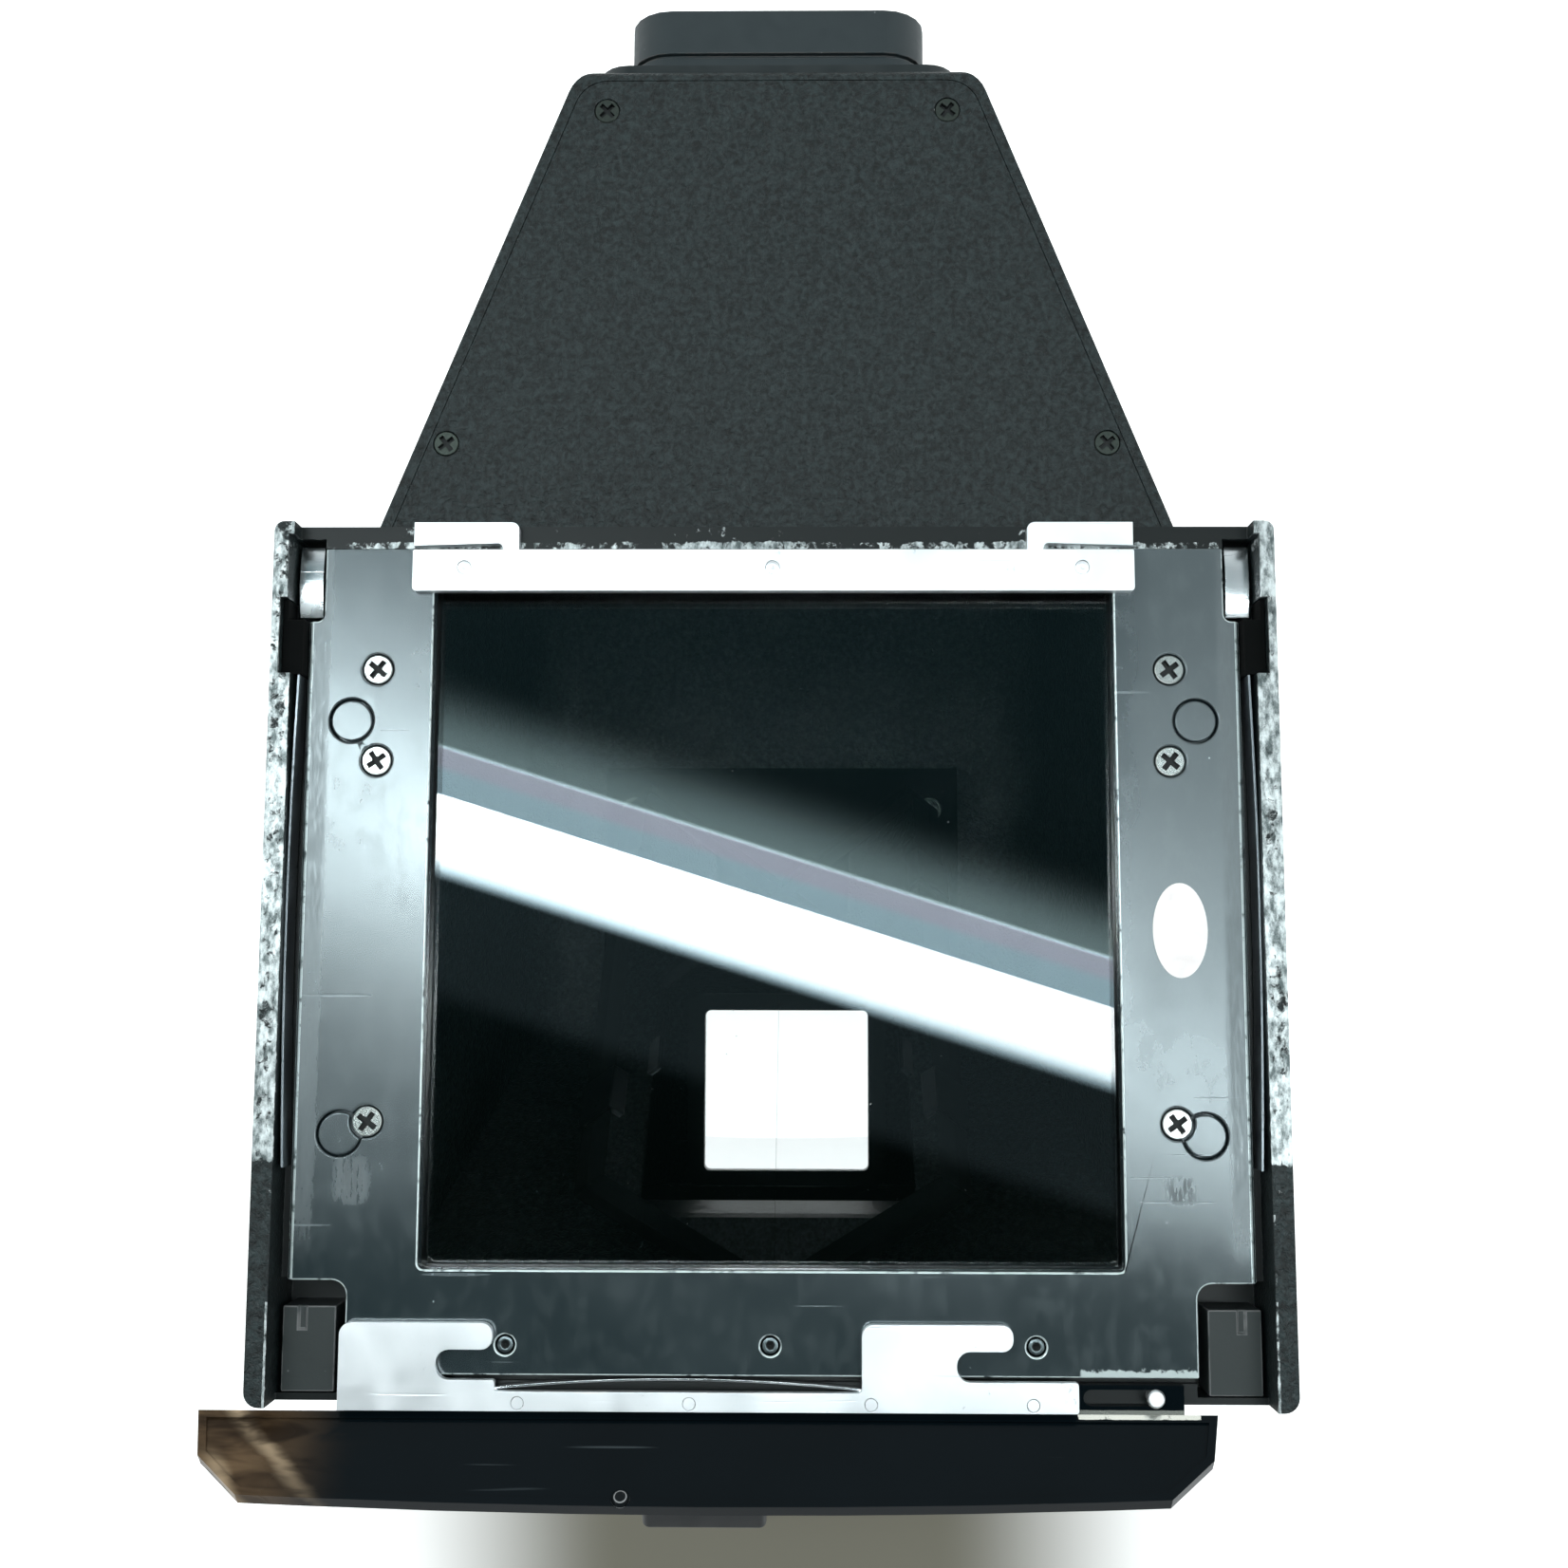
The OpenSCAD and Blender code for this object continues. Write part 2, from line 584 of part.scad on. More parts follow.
module lock_plate() color([0.06, 0.07, 0.09]) {
    difference() {
        union() {
            // flat flange that runs on the seat's front lip
            box([-42.4, flange_y[1], flange_z[0]], [41, flange_y[0], flange_z[1]]);
            // leaf that stands out at 45 degrees, with a raised rim on its inner face
            on_slope() difference() {
                translate([0, 0, -lock_t]) linear_extrude(lock_t) leaf_2d(0);
                translate([0, 0, -0.25]) linear_extrude(1) leaf_2d(0.8);
            }
        }
        // two guide slots
        for (x = pin_x) {
            box([x - travel, slot_y - pin_r - 0.1, -2], [x, slot_y + pin_r + 0.1, 1]);
            for (s = [x - travel, x]) translate([s, slot_y, -2]) cylinder(r = pin_r + 0.1, h = 3);
        }
        // bay for the bowed spring
        box([-28.3, -47.3, -2], [9.7, flange_y[0] + 1, 1]);
        on_slope() {
            // blind holes for the button frame's rivets, and a through hole
            for (x = [-1, 1]) translate([x * guide_rivet.x, guide_rivet.y, -lock_t - 1])
                cylinder(r = 0.6, h = lock_t + 0.5);
            translate([stop_rivet_at.x, stop_rivet_at.y, -lock_t - 1]) cylinder(r = 0.6, h = 4);
            translate([stop_rivet_at.x, stop_rivet_at.y, -0.25]) cylinder(r = 1, h = 1);
        }
        for (x = hook_rivet_x) translate([x, hook_rivet_y, -2]) cylinder(r = 0.65, h = 4);
    }
}

hook_rivet_x = [-25, -8, 10, 26];
hook_rivet_y = -48.2;
hook_y = -40.5;                     // far edge of the hooks
arm_y = -43.1;                      // near edge of the hook arms
hooks = [[-42.9, -33.2, -27.6], [9.1, 18.5, 24.1]];     // block start, slot end, arm tip

// Strip with two hooks, drawn as one outline
function hook_outline(h) = [[h[1], strip_y[1]], [h[1], arm_y], [h[2], arm_y], [h[2], hook_y],
                            [h[0], hook_y]];
module hook_plate() color([0.88, 0.89, 0.9]) {
    slot_r = 1.3;
    spring_y = strip_y[1] - 1.1;    // set back, which leaves the bowed spring in sight
    step_x = hooks[0][2] + 0.3;
    pts = [[hooks[0][0], strip_y[0]], [30.5, strip_y[0]], [30.5, strip_y[1]],
           each hook_outline(hooks[1]), [hooks[1][0], spring_y], [step_x, spring_y],
           [step_x, strip_y[1]], each hook_outline(hooks[0])];
    radii = [0, 0.3, 0.3, slot_r, slot_r, 1.1, 1.1, 1.2, 0.4, 0.3, 0.3,
             slot_r, slot_r, 1.1, 1.1, 1.2];
    translate([0, 0, flange_z[1]]) difference() {
        linear_extrude(hook_t) polygon(rounded(pts, radii, 5));
        for (x = hook_rivet_x) translate([x, hook_rivet_y, -cut]) cylinder(r = 0.65, h = 3);
    }
}

module hook_rivets() color([0.85, 0.86, 0.87]) {
    for (x = hook_rivet_x) translate([x, hook_rivet_y, flange_z[0]])
        cylinder(r = 0.6, h = flange_z[1] - flange_z[0] + hook_t);
}

// Bowed leaf that takes up the play between the slide and the seat plate
module slide_spring() color([0.85, 0.86, 0.87]) {
    x0 = -27.9;
    x1 = 9.3;
    bow = 0.95;
    chord = x1 - x0;
    r = (chord * chord / 4 + bow * bow) / (2 * bow);
    spread = asin(chord / 2 / r);
    c = [(x0 + x1) / 2, plate_front - 0.2 - r];
    translate([0, 0, -0.75]) linear_extrude(0.9)
        polygon([each arc(c, r, 90 + spread, 90 - spread, 16),
                 each arc(c, r - 0.22, 90 - spread, 90 + spread, 16)]);
}

// Dome on the inner face, close to the outer edge
module stop_rivet() color([0.2, 0.22, 0.24]) on_slope()
    translate([stop_rivet_at.x, stop_rivet_at.y, -lock_t]) {
        cylinder(r = 0.55, h = lock_t);
        translate([0, 0, lock_t - 0.25]) cylinder(r1 = 0.95, r2 = 0.6, h = 0.5);
    }

// Frame of the release button, riveted to the outer face of the lock plate, open at its outer end
guide_root = 1.2;
guide_far = 7.8;
module button_guide() color([0.06, 0.07, 0.08]) on_slope() {
    opening = button_w / 2 + 0.3;
    difference() {
        translate([-10.4, guide_root, -lock_t - guide_h]) cube([20.8, guide_far - guide_root, guide_h]);
        translate([-opening, guide_root + 0.7, -lock_t - guide_h - 1])
            cube([2 * opening, 9, guide_h + 2]);
        for (x = [-1, 1]) translate([x * guide_rivet.x, guide_rivet.y, -lock_t - guide_h - 1])
            cylinder(r = 0.6, h = guide_h + 2);
    }
}

module guide_rivets() color([0.08, 0.09, 0.1]) on_slope() {
    for (x = [-1, 1]) translate([x * guide_rivet.x, guide_rivet.y, -lock_t - guide_h])
        cylinder(r = 0.55, h = guide_h + lock_t - 0.55);
}

button_gap = button_travel + 0.2;
button_h = 2.8;
button_far = lock_slope - 1;
module release_button() color([0.05, 0.055, 0.06]) on_slope() {
    x = button_w / 2;
    translate([0, 0, -lock_t - button_gap - button_h]) linear_extrude(button_h)
        polygon(rounded([[-x, guide_root + 1], [x, guide_root + 1], [x, button_far],
                         [-x, button_far]], [0.4, 0.4, 0.7, 0.7], 4));
}

// Flat wave spring under the button
module button_spring() color([0.6, 0.61, 0.62]) on_slope() {
    r = 9;
    spread = asin(4.4 / r);
    translate([0, guide_far, -lock_t - button_gap + 0.04 + r]) rotate([90, 0, 0])
        linear_extrude(2.6)
            polygon([each arc([0, 0], r, -90 - spread, -90 + spread, 10),
                     each arc([0, 0], r - 0.2, -90 + spread, -90 - spread, 10)]);
}

housing_shell();
bottom_cover();
cover_screws();
seat_plate();
plate_screws();
index_discs();
front_rivets();
corner_block_left();
corner_block_right();
window_glass();
window_gasket();
rear_hook_bar();
hook_bar_rivets();
corner_spring_left();
corner_spring_right();
side_spring_left();
side_spring_right();
spring_block_left();
spring_block_right();
inspection_label();
guide_pins();
mirror_left();
mirror_right();
mirror_cradle();
mirror_clips();
cradle_screws();
tail_baffle();
eyepiece_frame();
eyepiece_screws();
eye_lens();
field_lens();
lens_retainer();
eyecup();
lock_plate();
hook_plate();
hook_rivets();
slide_spring();
stop_rivet();
button_guide();
guide_rivets();
button_spring();
release_button();
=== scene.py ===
# %% [markdown]
# # A mirror finder, lying on its roof
#
# This lesson dresses a reflex camera's eye-level finder. Its exact solids come from
# the CAD model and stay the measure of everything. Blender adds the small radii, the
# screw heads, the paint, the wear and the light. All sizes are in metres, so helpers
# named mm turn a size in millimetres into one that Blender can use.

# %% Load the frame
import bmesh
import bpy
import json
from math import cos, pi, radians, sin
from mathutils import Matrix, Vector

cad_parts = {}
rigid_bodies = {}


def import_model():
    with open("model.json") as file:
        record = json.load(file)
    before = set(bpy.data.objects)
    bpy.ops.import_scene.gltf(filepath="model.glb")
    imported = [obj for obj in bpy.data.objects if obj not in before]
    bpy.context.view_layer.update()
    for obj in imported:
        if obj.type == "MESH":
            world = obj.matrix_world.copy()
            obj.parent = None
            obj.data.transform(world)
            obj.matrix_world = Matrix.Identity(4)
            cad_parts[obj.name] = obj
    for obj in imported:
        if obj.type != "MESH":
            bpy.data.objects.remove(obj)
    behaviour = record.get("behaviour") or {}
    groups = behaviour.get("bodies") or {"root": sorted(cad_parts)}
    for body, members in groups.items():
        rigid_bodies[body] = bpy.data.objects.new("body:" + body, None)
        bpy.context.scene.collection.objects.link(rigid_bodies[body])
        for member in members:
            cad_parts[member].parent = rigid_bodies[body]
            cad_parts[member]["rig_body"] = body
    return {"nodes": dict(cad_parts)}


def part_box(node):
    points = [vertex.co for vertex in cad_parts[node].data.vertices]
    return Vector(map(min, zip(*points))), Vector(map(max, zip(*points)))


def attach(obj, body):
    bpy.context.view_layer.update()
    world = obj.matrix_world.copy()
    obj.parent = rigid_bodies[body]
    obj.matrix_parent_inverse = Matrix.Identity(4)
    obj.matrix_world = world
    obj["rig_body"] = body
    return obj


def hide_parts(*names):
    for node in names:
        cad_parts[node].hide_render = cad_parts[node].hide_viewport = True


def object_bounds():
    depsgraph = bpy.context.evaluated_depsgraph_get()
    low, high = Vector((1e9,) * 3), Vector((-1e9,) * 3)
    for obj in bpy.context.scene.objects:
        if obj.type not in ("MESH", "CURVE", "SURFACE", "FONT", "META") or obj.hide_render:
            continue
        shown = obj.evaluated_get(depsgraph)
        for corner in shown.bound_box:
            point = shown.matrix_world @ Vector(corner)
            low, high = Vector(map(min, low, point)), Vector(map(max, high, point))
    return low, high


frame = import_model()
cad_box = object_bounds()
scene = bpy.context.scene
MM = 0.001


def mm(*sizes):
    """Millimetres to metres: one number, or a vector of several."""
    return sizes[0] * MM if len(sizes) == 1 else Vector(sizes) * MM


BODY = {node: piece["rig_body"] for node, piece in frame["nodes"].items()}

# %% [markdown]
# ## The camera
#
# A camera is placed first, because every later choice is judged through it. This one
# hangs above the seat and leans a little towards the eyepiece. The lens is given by
# its focal length on a 36 mm sensor, which sets how wide a view it takes in.

# %% Camera
camera_data = bpy.data.cameras.new("overhead")
camera_data.sensor_width = 36
camera_data.lens = 40.9
camera_data.clip_start = 0.01
camera = bpy.data.objects.new("overhead", camera_data)
camera.location = mm(3.55, -7.71, 182.8)
camera.rotation_euler = (radians(6.65), radians(0.71), radians(0.15))
scene.collection.objects.link(camera)
scene.camera = camera
print("camera", [round(v, 4) for v in camera.location])

# %% [markdown]
# ## A small language for materials
#
# A material is a tree of nodes. Linking nodes one by one is slow to read, so a small
# class wraps a socket and gives it arithmetic: `1 - mask` adds a Math node. Whatever
# is not arithmetic comes from one method, which takes the node's type, its settings
# and the values or wires of its sockets.


# %% Wires
class Wire:
    """One output socket of a finish. Arithmetic on it adds Math nodes."""

    def __init__(self, finish, socket):
        self.finish, self.socket = finish, socket

    def __add__(self, other):
        return self.finish.math("ADD", self, other)

    def __sub__(self, other):
        return self.finish.math("SUBTRACT", self, other)

    def __rsub__(self, other):
        return self.finish.math("SUBTRACT", other, self)

    def __mul__(self, other):
        return self.finish.math("MULTIPLY", self, other)

    def __truediv__(self, other):
        return self.finish.math("DIVIDE", self, other)

    def __gt__(self, other):
        return self.finish.math("GREATER_THAN", self, other)

    def __abs__(self):
        return self.finish.math("ABSOLUTE", self)

    __radd__, __rmul__ = __add__, __mul__

    def least(self, other):
        return self.finish.math("MINIMUM", self, other)

    def most(self, other):
        return self.finish.math("MAXIMUM", self, other)

    def fade(self, low, high, start=0.0, end=1.0):
        """start below low, end above high, with a smooth step between them."""
        values = {"Value": self, "From Min": low, "From Max": high, "To Min": start, "To Max": end}
        return self.finish.node("ShaderNodeMapRange", {"interpolation_type": "SMOOTHSTEP"}, values)

    def within(self, low, high, soft=0.3):
        """1 between low and high, and 0 outside, with soft edges."""
        return self.fade(low - soft, low) * self.fade(high, high + soft, 1, 0)


print("wires know", [word for word in dir(Wire) if not word.startswith("_")])

# %% [markdown]
# A finish is one material while it is being made. It knows where a point lies in
# millimetres, and it has a short method for each kind of pattern that is used below.


# %% Finishes
class Finish:
    """A material under construction. Lengths inside it are in millimetres."""

    def __init__(self, name, tree=None):
        if tree is None:
            self.material = bpy.data.materials.new(name)
            self.material.use_nodes = True
            tree = self.material.node_tree
        self.tree = tree
        self.tree.nodes.clear()
        place = self.node("ShaderNodeTexCoord", out="Object")
        self.place = self.vector("SCALE", place, Scale=1 / MM)
        self.x, self.y, self.z = (
            self.node("ShaderNodeSeparateXYZ", values={0: self.place}, out=axis) for axis in "XYZ")

    def node(self, kind, settings=None, values=None, out=0):
        made = self.tree.nodes.new(kind)
        for name, value in (settings or {}).items():
            setattr(made, name, value)
        for name, value in (values or {}).items():
            if isinstance(value, Wire):
                self.tree.links.new(value.socket, made.inputs[name])
            else:
                made.inputs[name].default_value = value
        return Wire(self, made.outputs[out]) if len(made.outputs) else None

    def math(self, operation, *values):
        return self.node("ShaderNodeMath", {"operation": operation}, dict(enumerate(values)))

    def vector(self, operation, *values, **named):
        return self.node("ShaderNodeVectorMath", {"operation": operation},
                         {**dict(enumerate(values)), **named})

    def mix(self, factor, first, second):
        """A colour between two others."""
        first, second = ((*c, 1) if isinstance(c, tuple) else c for c in (first, second))
        return self.node("ShaderNodeMix", {"data_type": "RGBA"},
                         {"Factor": factor, 6: first, 7: second}, out=2)

    def stretched(self, stretch, turn=0):
        if stretch == (1, 1, 1) and not turn:
            return self.place
        return self.node("ShaderNodeMapping", values={
            "Vector": self.place, "Rotation": (0, 0, radians(turn)), "Scale": stretch})

    def noise(self, size, detail=2, rough=0.5, bend=0, stretch=(1, 1, 1), turn=0, seed=0):
        """Cloudy noise from 0 to 1, with lumps about size mm wide."""
        return self.node("ShaderNodeTexNoise", {"noise_dimensions": "4D"}, {
            "Vector": self.stretched(stretch, turn), "W": seed, "Scale": 1 / size,
            "Detail": detail, "Roughness": rough, "Distortion": bend})

    def cells(self, size):
        """Distance from the nearest of scattered points, about size mm apart."""
        return self.node("ShaderNodeTexVoronoi", values={
            "Vector": self.place, "Scale": 1 / size, "Randomness": 1}, out="Distance")

    def attribute(self, name):
        return self.node("ShaderNodeAttribute", {"attribute_name": name}, out="Fac")

    def bump(self, height, depth=1.0):
        """A normal from a height in millimetres."""
        return self.node("ShaderNodeBump", values={
            "Height": height, "Strength": depth, "Distance": MM})

    def scratches(self, size, amount, turns=(12, -35, 70)):
        """Thin straight lines, a few in each of several directions."""
        lines = 0
        for turn in turns:
            line = self.noise(size, 1, 0.4, 0, (0.05, 1.6, 1), turn, seed=turn)
            lines = line.fade(0.72 - amount, 0.76 - amount) + lines
        return lines.least(1)

    def done(self, normal=None, **inputs):
        """Ends the tree in a Principled shader. Words joined by _ name its sockets."""
        values = {name.replace("_", " "): value for name, value in inputs.items()}
        for name in ("Base Color", "Emission Color", "Specular Tint"):
            if isinstance(values.get(name), tuple):
                values[name] = (*values[name], 1)
        if normal:
            values["Normal"] = normal
        shader = self.node("ShaderNodeBsdfPrincipled", values=values)
        self.node("ShaderNodeOutputMaterial", values={0: shader})
        print(f"{self.material.name}: {len(self.tree.nodes)} nodes")
        return self.material


# %% [markdown]
# ## Light
#
# The finder lies on a white table under a long tube lamp. Three things matter: the
# lamp itself, which shows as a slanting band in the window glass, the dimmer face of
# its fitting beside it, and the room. An area lamp can carry a node tree too, so one
# lamp holds the tube, the fitting and the glow around them as a profile across it.
# One half of the tube is made weaker than the other, by choice.


# %% Lamp
LAMP_HEIGHT = 600
LAMP_TURN = radians(-17.5)
LAMP_LENGTH = 900
PROFILE = (-80, 84)            # reach across the lamp on each side of the tube's line
TUBE = (-8, 15.5)              # the tube's own place in the profile
FITTING = (16, 36)             # and its fitting's
TUBE_POWER = (35, 23)          # in the strong and in the weak half
FITTING_POWER, LIP_POWER, GLOW_POWER, HAZE_POWER = 5.2, 2.6, 2.2, 0.14


def tube_lamp(tube_y):
    width = PROFILE[1] - PROFILE[0]
    middle = sum(PROFILE) / 2
    data = bpy.data.lights.new("tube_lamp", "AREA")
    data.shape = "RECTANGLE"
    data.size, data.size_y = mm(LAMP_LENGTH), mm(width)
    data.energy = pi * data.size * data.size_y
    lamp = bpy.data.objects.new("tube_lamp", data)
    lamp.location = mm(-middle * sin(LAMP_TURN), tube_y + middle * cos(LAMP_TURN), LAMP_HEIGHT)
    lamp.rotation_euler = (0, 0, LAMP_TURN)
    scene.collection.objects.link(lamp)
    data.use_nodes = True
    f = Finish("tube_lamp", data.node_tree)
    place = f.node("ShaderNodeNewGeometry", out="Parametric")
    across = f.node("ShaderNodeSeparateXYZ", values={0: place}, out="Y") * width + PROFILE[0]
    along = f.node("ShaderNodeSeparateXYZ", values={0: place}, out="X")
    tube = across.fade(-21, TUBE[0]) * across.fade(TUBE[1], FITTING[0], 1, 0)
    fitting = across.fade(TUBE[1], FITTING[0]) * across.fade(FITTING[1], 37, 1, 0)
    lip = across.within(35.5, 37, 0.6)
    glow = across.fade(FITTING[1], 76, 1, 0) * across.fade(35, 36.5)
    haze = across.fade(-74, -62) * across.fade(-21, TUBE[0], 1, 0)
    tone = f.mix(across.fade(25, 29), (0.60, 0.88, 1), (0.74, 0.82, 0.98))
    tone = f.mix(across.fade(35, 37), tone, (0.66, 0.95, 0.98))
    colour = f.mix(tube, tone, (0.93, 1, 1))
    power = tube * along.fade(0.42, 0.62, *TUBE_POWER) + fitting * FITTING_POWER
    power = power + lip * LIP_POWER + glow * glow * GLOW_POWER + haze * HAZE_POWER
    shine = f.node("ShaderNodeEmission", values={"Color": colour, "Strength": power})
    f.node("ShaderNodeOutputLight", values={0: shine})
    print(f"lamp {LAMP_LENGTH} by {width} mm, {LAMP_HEIGHT} mm up")


tube_lamp(12.6)

# %% [markdown]
# ## The room
#
# The room is a sky that is dark straight above and bright towards the walls. So the
# glass looks black, while chrome and the table look white. A dark patch on the front
# side stands for whoever looks down at the finder, and the right side is brighter, by
# choice. A sky has a direction instead of a place: its Z is 1 straight up, and 0 at the
# horizon.


# %% Room
DARK_CAP = 24                  # degrees from straight up to the end of the dark ceiling
BRIGHT_FROM = 48               # and to where the walls are fully bright


def room():
    world = bpy.data.worlds.new("room")
    scene.world = world
    world.use_nodes = True
    f = Finish("room", world.node_tree)
    ray = f.node("ShaderNodeTexCoord", out="Generated")
    axes = [f.node("ShaderNodeSeparateXYZ", values={0: ray}, out=axis) for axis in "XYZ"]
    side, rear, up = axes
    ceiling = f.mix(rear.fade(-0.12, 0.22), (0.010, 0.022, 0.020), (0.045, 0.105, 0.120))
    lean = side.fade(0.19, 0.32) * rear.fade(-0.15, 0.05)
    walls = (up - lean * 0.34).fade(cos(radians(BRIGHT_FROM)), cos(radians(DARK_CAP)), 1, 0)
    wall = f.mix(up.fade(0.0, 0.5, 1, 0), (1.0, 1.08, 1.1), (1.6, 1.68, 1.68))
    person = rear.fade(-0.5, -0.28, 1, 0) * abs(side).fade(0.42, 0.68, 1, 0) * up.fade(0.3, 0.55)
    lit = f.mix(person * 0.96, f.mix(walls, ceiling, wall), (0.03, 0.045, 0.06))
    sky = f.node("ShaderNodeBackground", values={"Color": lit})
    f.node("ShaderNodeOutputWorld", values={0: sky})
    print("room: dark straight up and in front, white all round")


room()
scene.view_settings.view_transform = "Standard"

# %% [markdown]
# ## Wrinkle lacquer
#
# The outer casting wears a black lacquer that shrinks as it is baked, into soft
# ridges less than a millimetre wide. Two noises make it: one bends the other, so the
# ridges wander. On the sharp edges the lacquer chips away and bright alloy shows.


# %% Wrinkle lacquer
SILL = (38.2, 41.2)            # Y of the housing's rubbed edge behind the seat
LEDGE_HALF, LEDGE_REAR = 49.6, 40.9    # half width and rear end of the plainer floor under the seat
RIM_WIDTH = 2.1                # across the top of a side wall


def wrinkle_height(f):
    """Lacquer wrinkles, in millimetres above the metal."""
    ridges = abs(f.noise(0.85, 2, 0.55, 1.1) - 0.5)
    swell = f.noise(2.6, 1, 0.5, 0.4, seed=3)
    return ridges.fade(0, 0.22, 0.16, 0) + swell * 0.12


def chipped(f, rim):
    """Share of bare metal: rim is how exposed a point is, from 0 to 1."""
    flakes = f.noise(0.9, 4, 0.65, 0.5, seed=7)
    patches = f.noise(9, 2, 0.5, 0, seed=11)
    return (rim * 0.62 + flakes * 0.75 + patches * 0.5).fade(1.12, 1.2)


def wall_exposure(f):
    """How rubbed the two side walls' rims are: 0 is untouched, 1 is always bare."""
    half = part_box("housing_shell")[1].x / MM
    across = abs(f.x) - (half - RIM_WIDTH)
    rim = f.z.fade(1.6, 2.3) * across.fade(-0.1, 0.05)
    rear = f.y.fade(-26, -24)
    middle = across.within(0.5, 1.7, 0.3)
    front_corner = f.y.fade(-39, -37, 0.95, 0.68) * across.fade(0.2, 0.42, 1, 0)
    return rim * ((1.09 - middle * 0.1) * rear).most(front_corner.most(0.55) * (1 - rear))


def wrinkle_lacquer(name, walls):
    f = Finish(name)
    rim = f.attribute("edge") * 0.62
    seat = 0
    if walls:
        sill = f.y.within(*SILL, 0.1) * f.z.fade(-1.2, -0.8)
        sill = sill * abs(f.y - SILL[0] - 0.5).fade(0.3, 0.7, 0.85, 0.6)
        rim = (rim * 0.8).most(sill).most(wall_exposure(f))
        seat = abs(f.x).fade(LEDGE_HALF, LEDGE_HALF + 0.2, 1, 0) * f.z.fade(-8, -7)
        seat = seat * f.y.fade(LEDGE_REAR, LEDGE_REAR + 0.2, 1, 0)
    bare = chipped(f, rim)
    tone = f.noise(0.7, 3, 0.6, 0.6, seed=5)
    paint = f.mix(tone.fade(0.3, 0.75), (0.0015, 0.003, 0.003), (0.021, 0.032, 0.033))
    paint = f.mix(seat, paint, (0.004, 0.006, 0.006)) if walls else paint
    mottle = f.noise(0.8, 4, 0.7, 0, (1, 0.5, 1), seed=3).fade(0.34, 0.66)
    metal = f.mix(mottle, (0.08, 0.10, 0.10), (0.66, 0.70, 0.70))
    height = wrinkle_height(f) * (1 - bare) * (1 - seat) - bare * 0.05
    return f.done(
        f.bump(height, 0.6), Base_Color=f.mix(bare, paint, metal), Metallic=bare * 0.45,
        Roughness=bare.fade(0, 1, 0.46, 0.4) - seat * 0.1, Specular_IOR_Level=0.3)


WRINKLE_HOUSING = wrinkle_lacquer("wrinkle_lacquer_housing", True)
WRINKLE_COVER = wrinkle_lacquer("wrinkle_lacquer_cover", False)

# %% [markdown]
# ## Satin lacquer
#
# The seat plate is flat and sprayed in a thin satin black that mirrors the lamp as a
# broad glow. Years of cameras sliding over it left fine scratches and rubbed smudges.
# The bright line along each edge is bared metal and also a painted highlight. How
# polished it is varies by place, by choice: it is glossier along the front and duller
# at the right rear.


# %% Satin lacquer
def rubbed_spot(f, x, y, wide, long, streaks):
    """A dark rubbed patch on the plate, broken up by fine streaks."""
    spot = abs(f.x - x).fade(wide * 0.3, wide, 1, 0) * abs(f.y - y).fade(long * 0.4, long, 1, 0)
    return spot * streaks


def satin_lacquer(name, plate):
    f = Finish(name)
    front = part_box("seat_plate")[0].y / MM
    edge = f.attribute("edge")
    cloud = f.noise(16, 3, 0.55, 0)
    swell = f.noise(9, 1, 0.4, 0, seed=21)
    marks = f.noise(1.8, 4, 0.65, 0, (1, 0.6, 1), seed=22).fade(0.46, 0.66)
    streaks = f.noise(0.5, 3, 0.6, 0.3, (1.6, 0.25, 1), seed=12)
    grain = f.noise(0.4, 1, 0.5, 0, (1, 0.35, 1))
    scratch = f.scratches(1.1, -0.02)
    speck = f.cells(3.1).fade(0.03, 0.05, 1, 0) * (f.noise(5, 1, seed=2) > 0.56)
    rubbed = rubbed_spot(f, -42.4, -26.8, 2.2, 2.8, streaks.fade(0.40, 0.5)).most(
        rubbed_spot(f, 41.2, -27.6, 2.0, 1.6, streaks.fade(0.44, 0.54)))
    side = abs(f.x).fade(45.9, 46.7) * f.y.fade(-36, -30) * streaks.fade(0.3, 0.6, 0.1, 0.45)
    dim = (rubbed * 0.9).most(side)
    black = f.mix(cloud, (0.013, 0.021, 0.024), (0.022, 0.032, 0.036))
    base = f.mix(dim, black, (0.003, 0.004, 0.004))
    base = f.mix(marks * 0.25, base, (0.045, 0.058, 0.060))
    base = f.mix(scratch * 0.25, base, (0.16, 0.19, 0.20))
    base = f.mix(speck * 0.8, base, (0.5, 0.55, 0.55))
    metallic = 0.0
    if plate:
        holes = abs(f.x).within(38.2, 46.6) * f.y.fade(-31, -30) * f.y.fade(38, 39, 1, 0)
        # lines: paint bared along the edges, and lightened further as a painted highlight there
        lines = edge * (1 - holes) * f.noise(1.1, 3, 0.6, seed=4).fade(0.3, 0.5)
        torn = f.noise(0.8, 3, 0.6, 0.5, seed=14) * 1.6
        ragged = (f.y - front + torn).fade(1.35, 1.6, 1, 0) * f.x.within(31, 45)
        bare = (lines * 0.85).most(ragged * f.z.fade(-0.4, -0.2))
        base = f.mix(bare, base, (0.66, 0.74, 0.73))
        metallic = bare * 0.25
    height = grain * 0.003 - scratch * 0.006 + swell * 0.05 - rubbed * 0.01
    polish = f.y.fade(-38, -24, -0.08, 0)
    right = f.x.fade(34, 40, 0, 0.06) * f.y.fade(-24, -4)
    rough = cloud.fade(0.3, 0.7, 0.23, 0.26) + scratch * 0.1 + dim * 0.3 + marks * 0.025
    return f.done(
        f.bump(height, 0.6), Base_Color=base, Metallic=metallic, IOR=1.8,
        Roughness=rough + polish + right, Specular_IOR_Level=0.8,
        Specular_Tint=(0.87, 0.95, 0.98))


SATIN = satin_lacquer("satin_lacquer", True)
SATIN_DISC = satin_lacquer("satin_lacquer_discs", False)
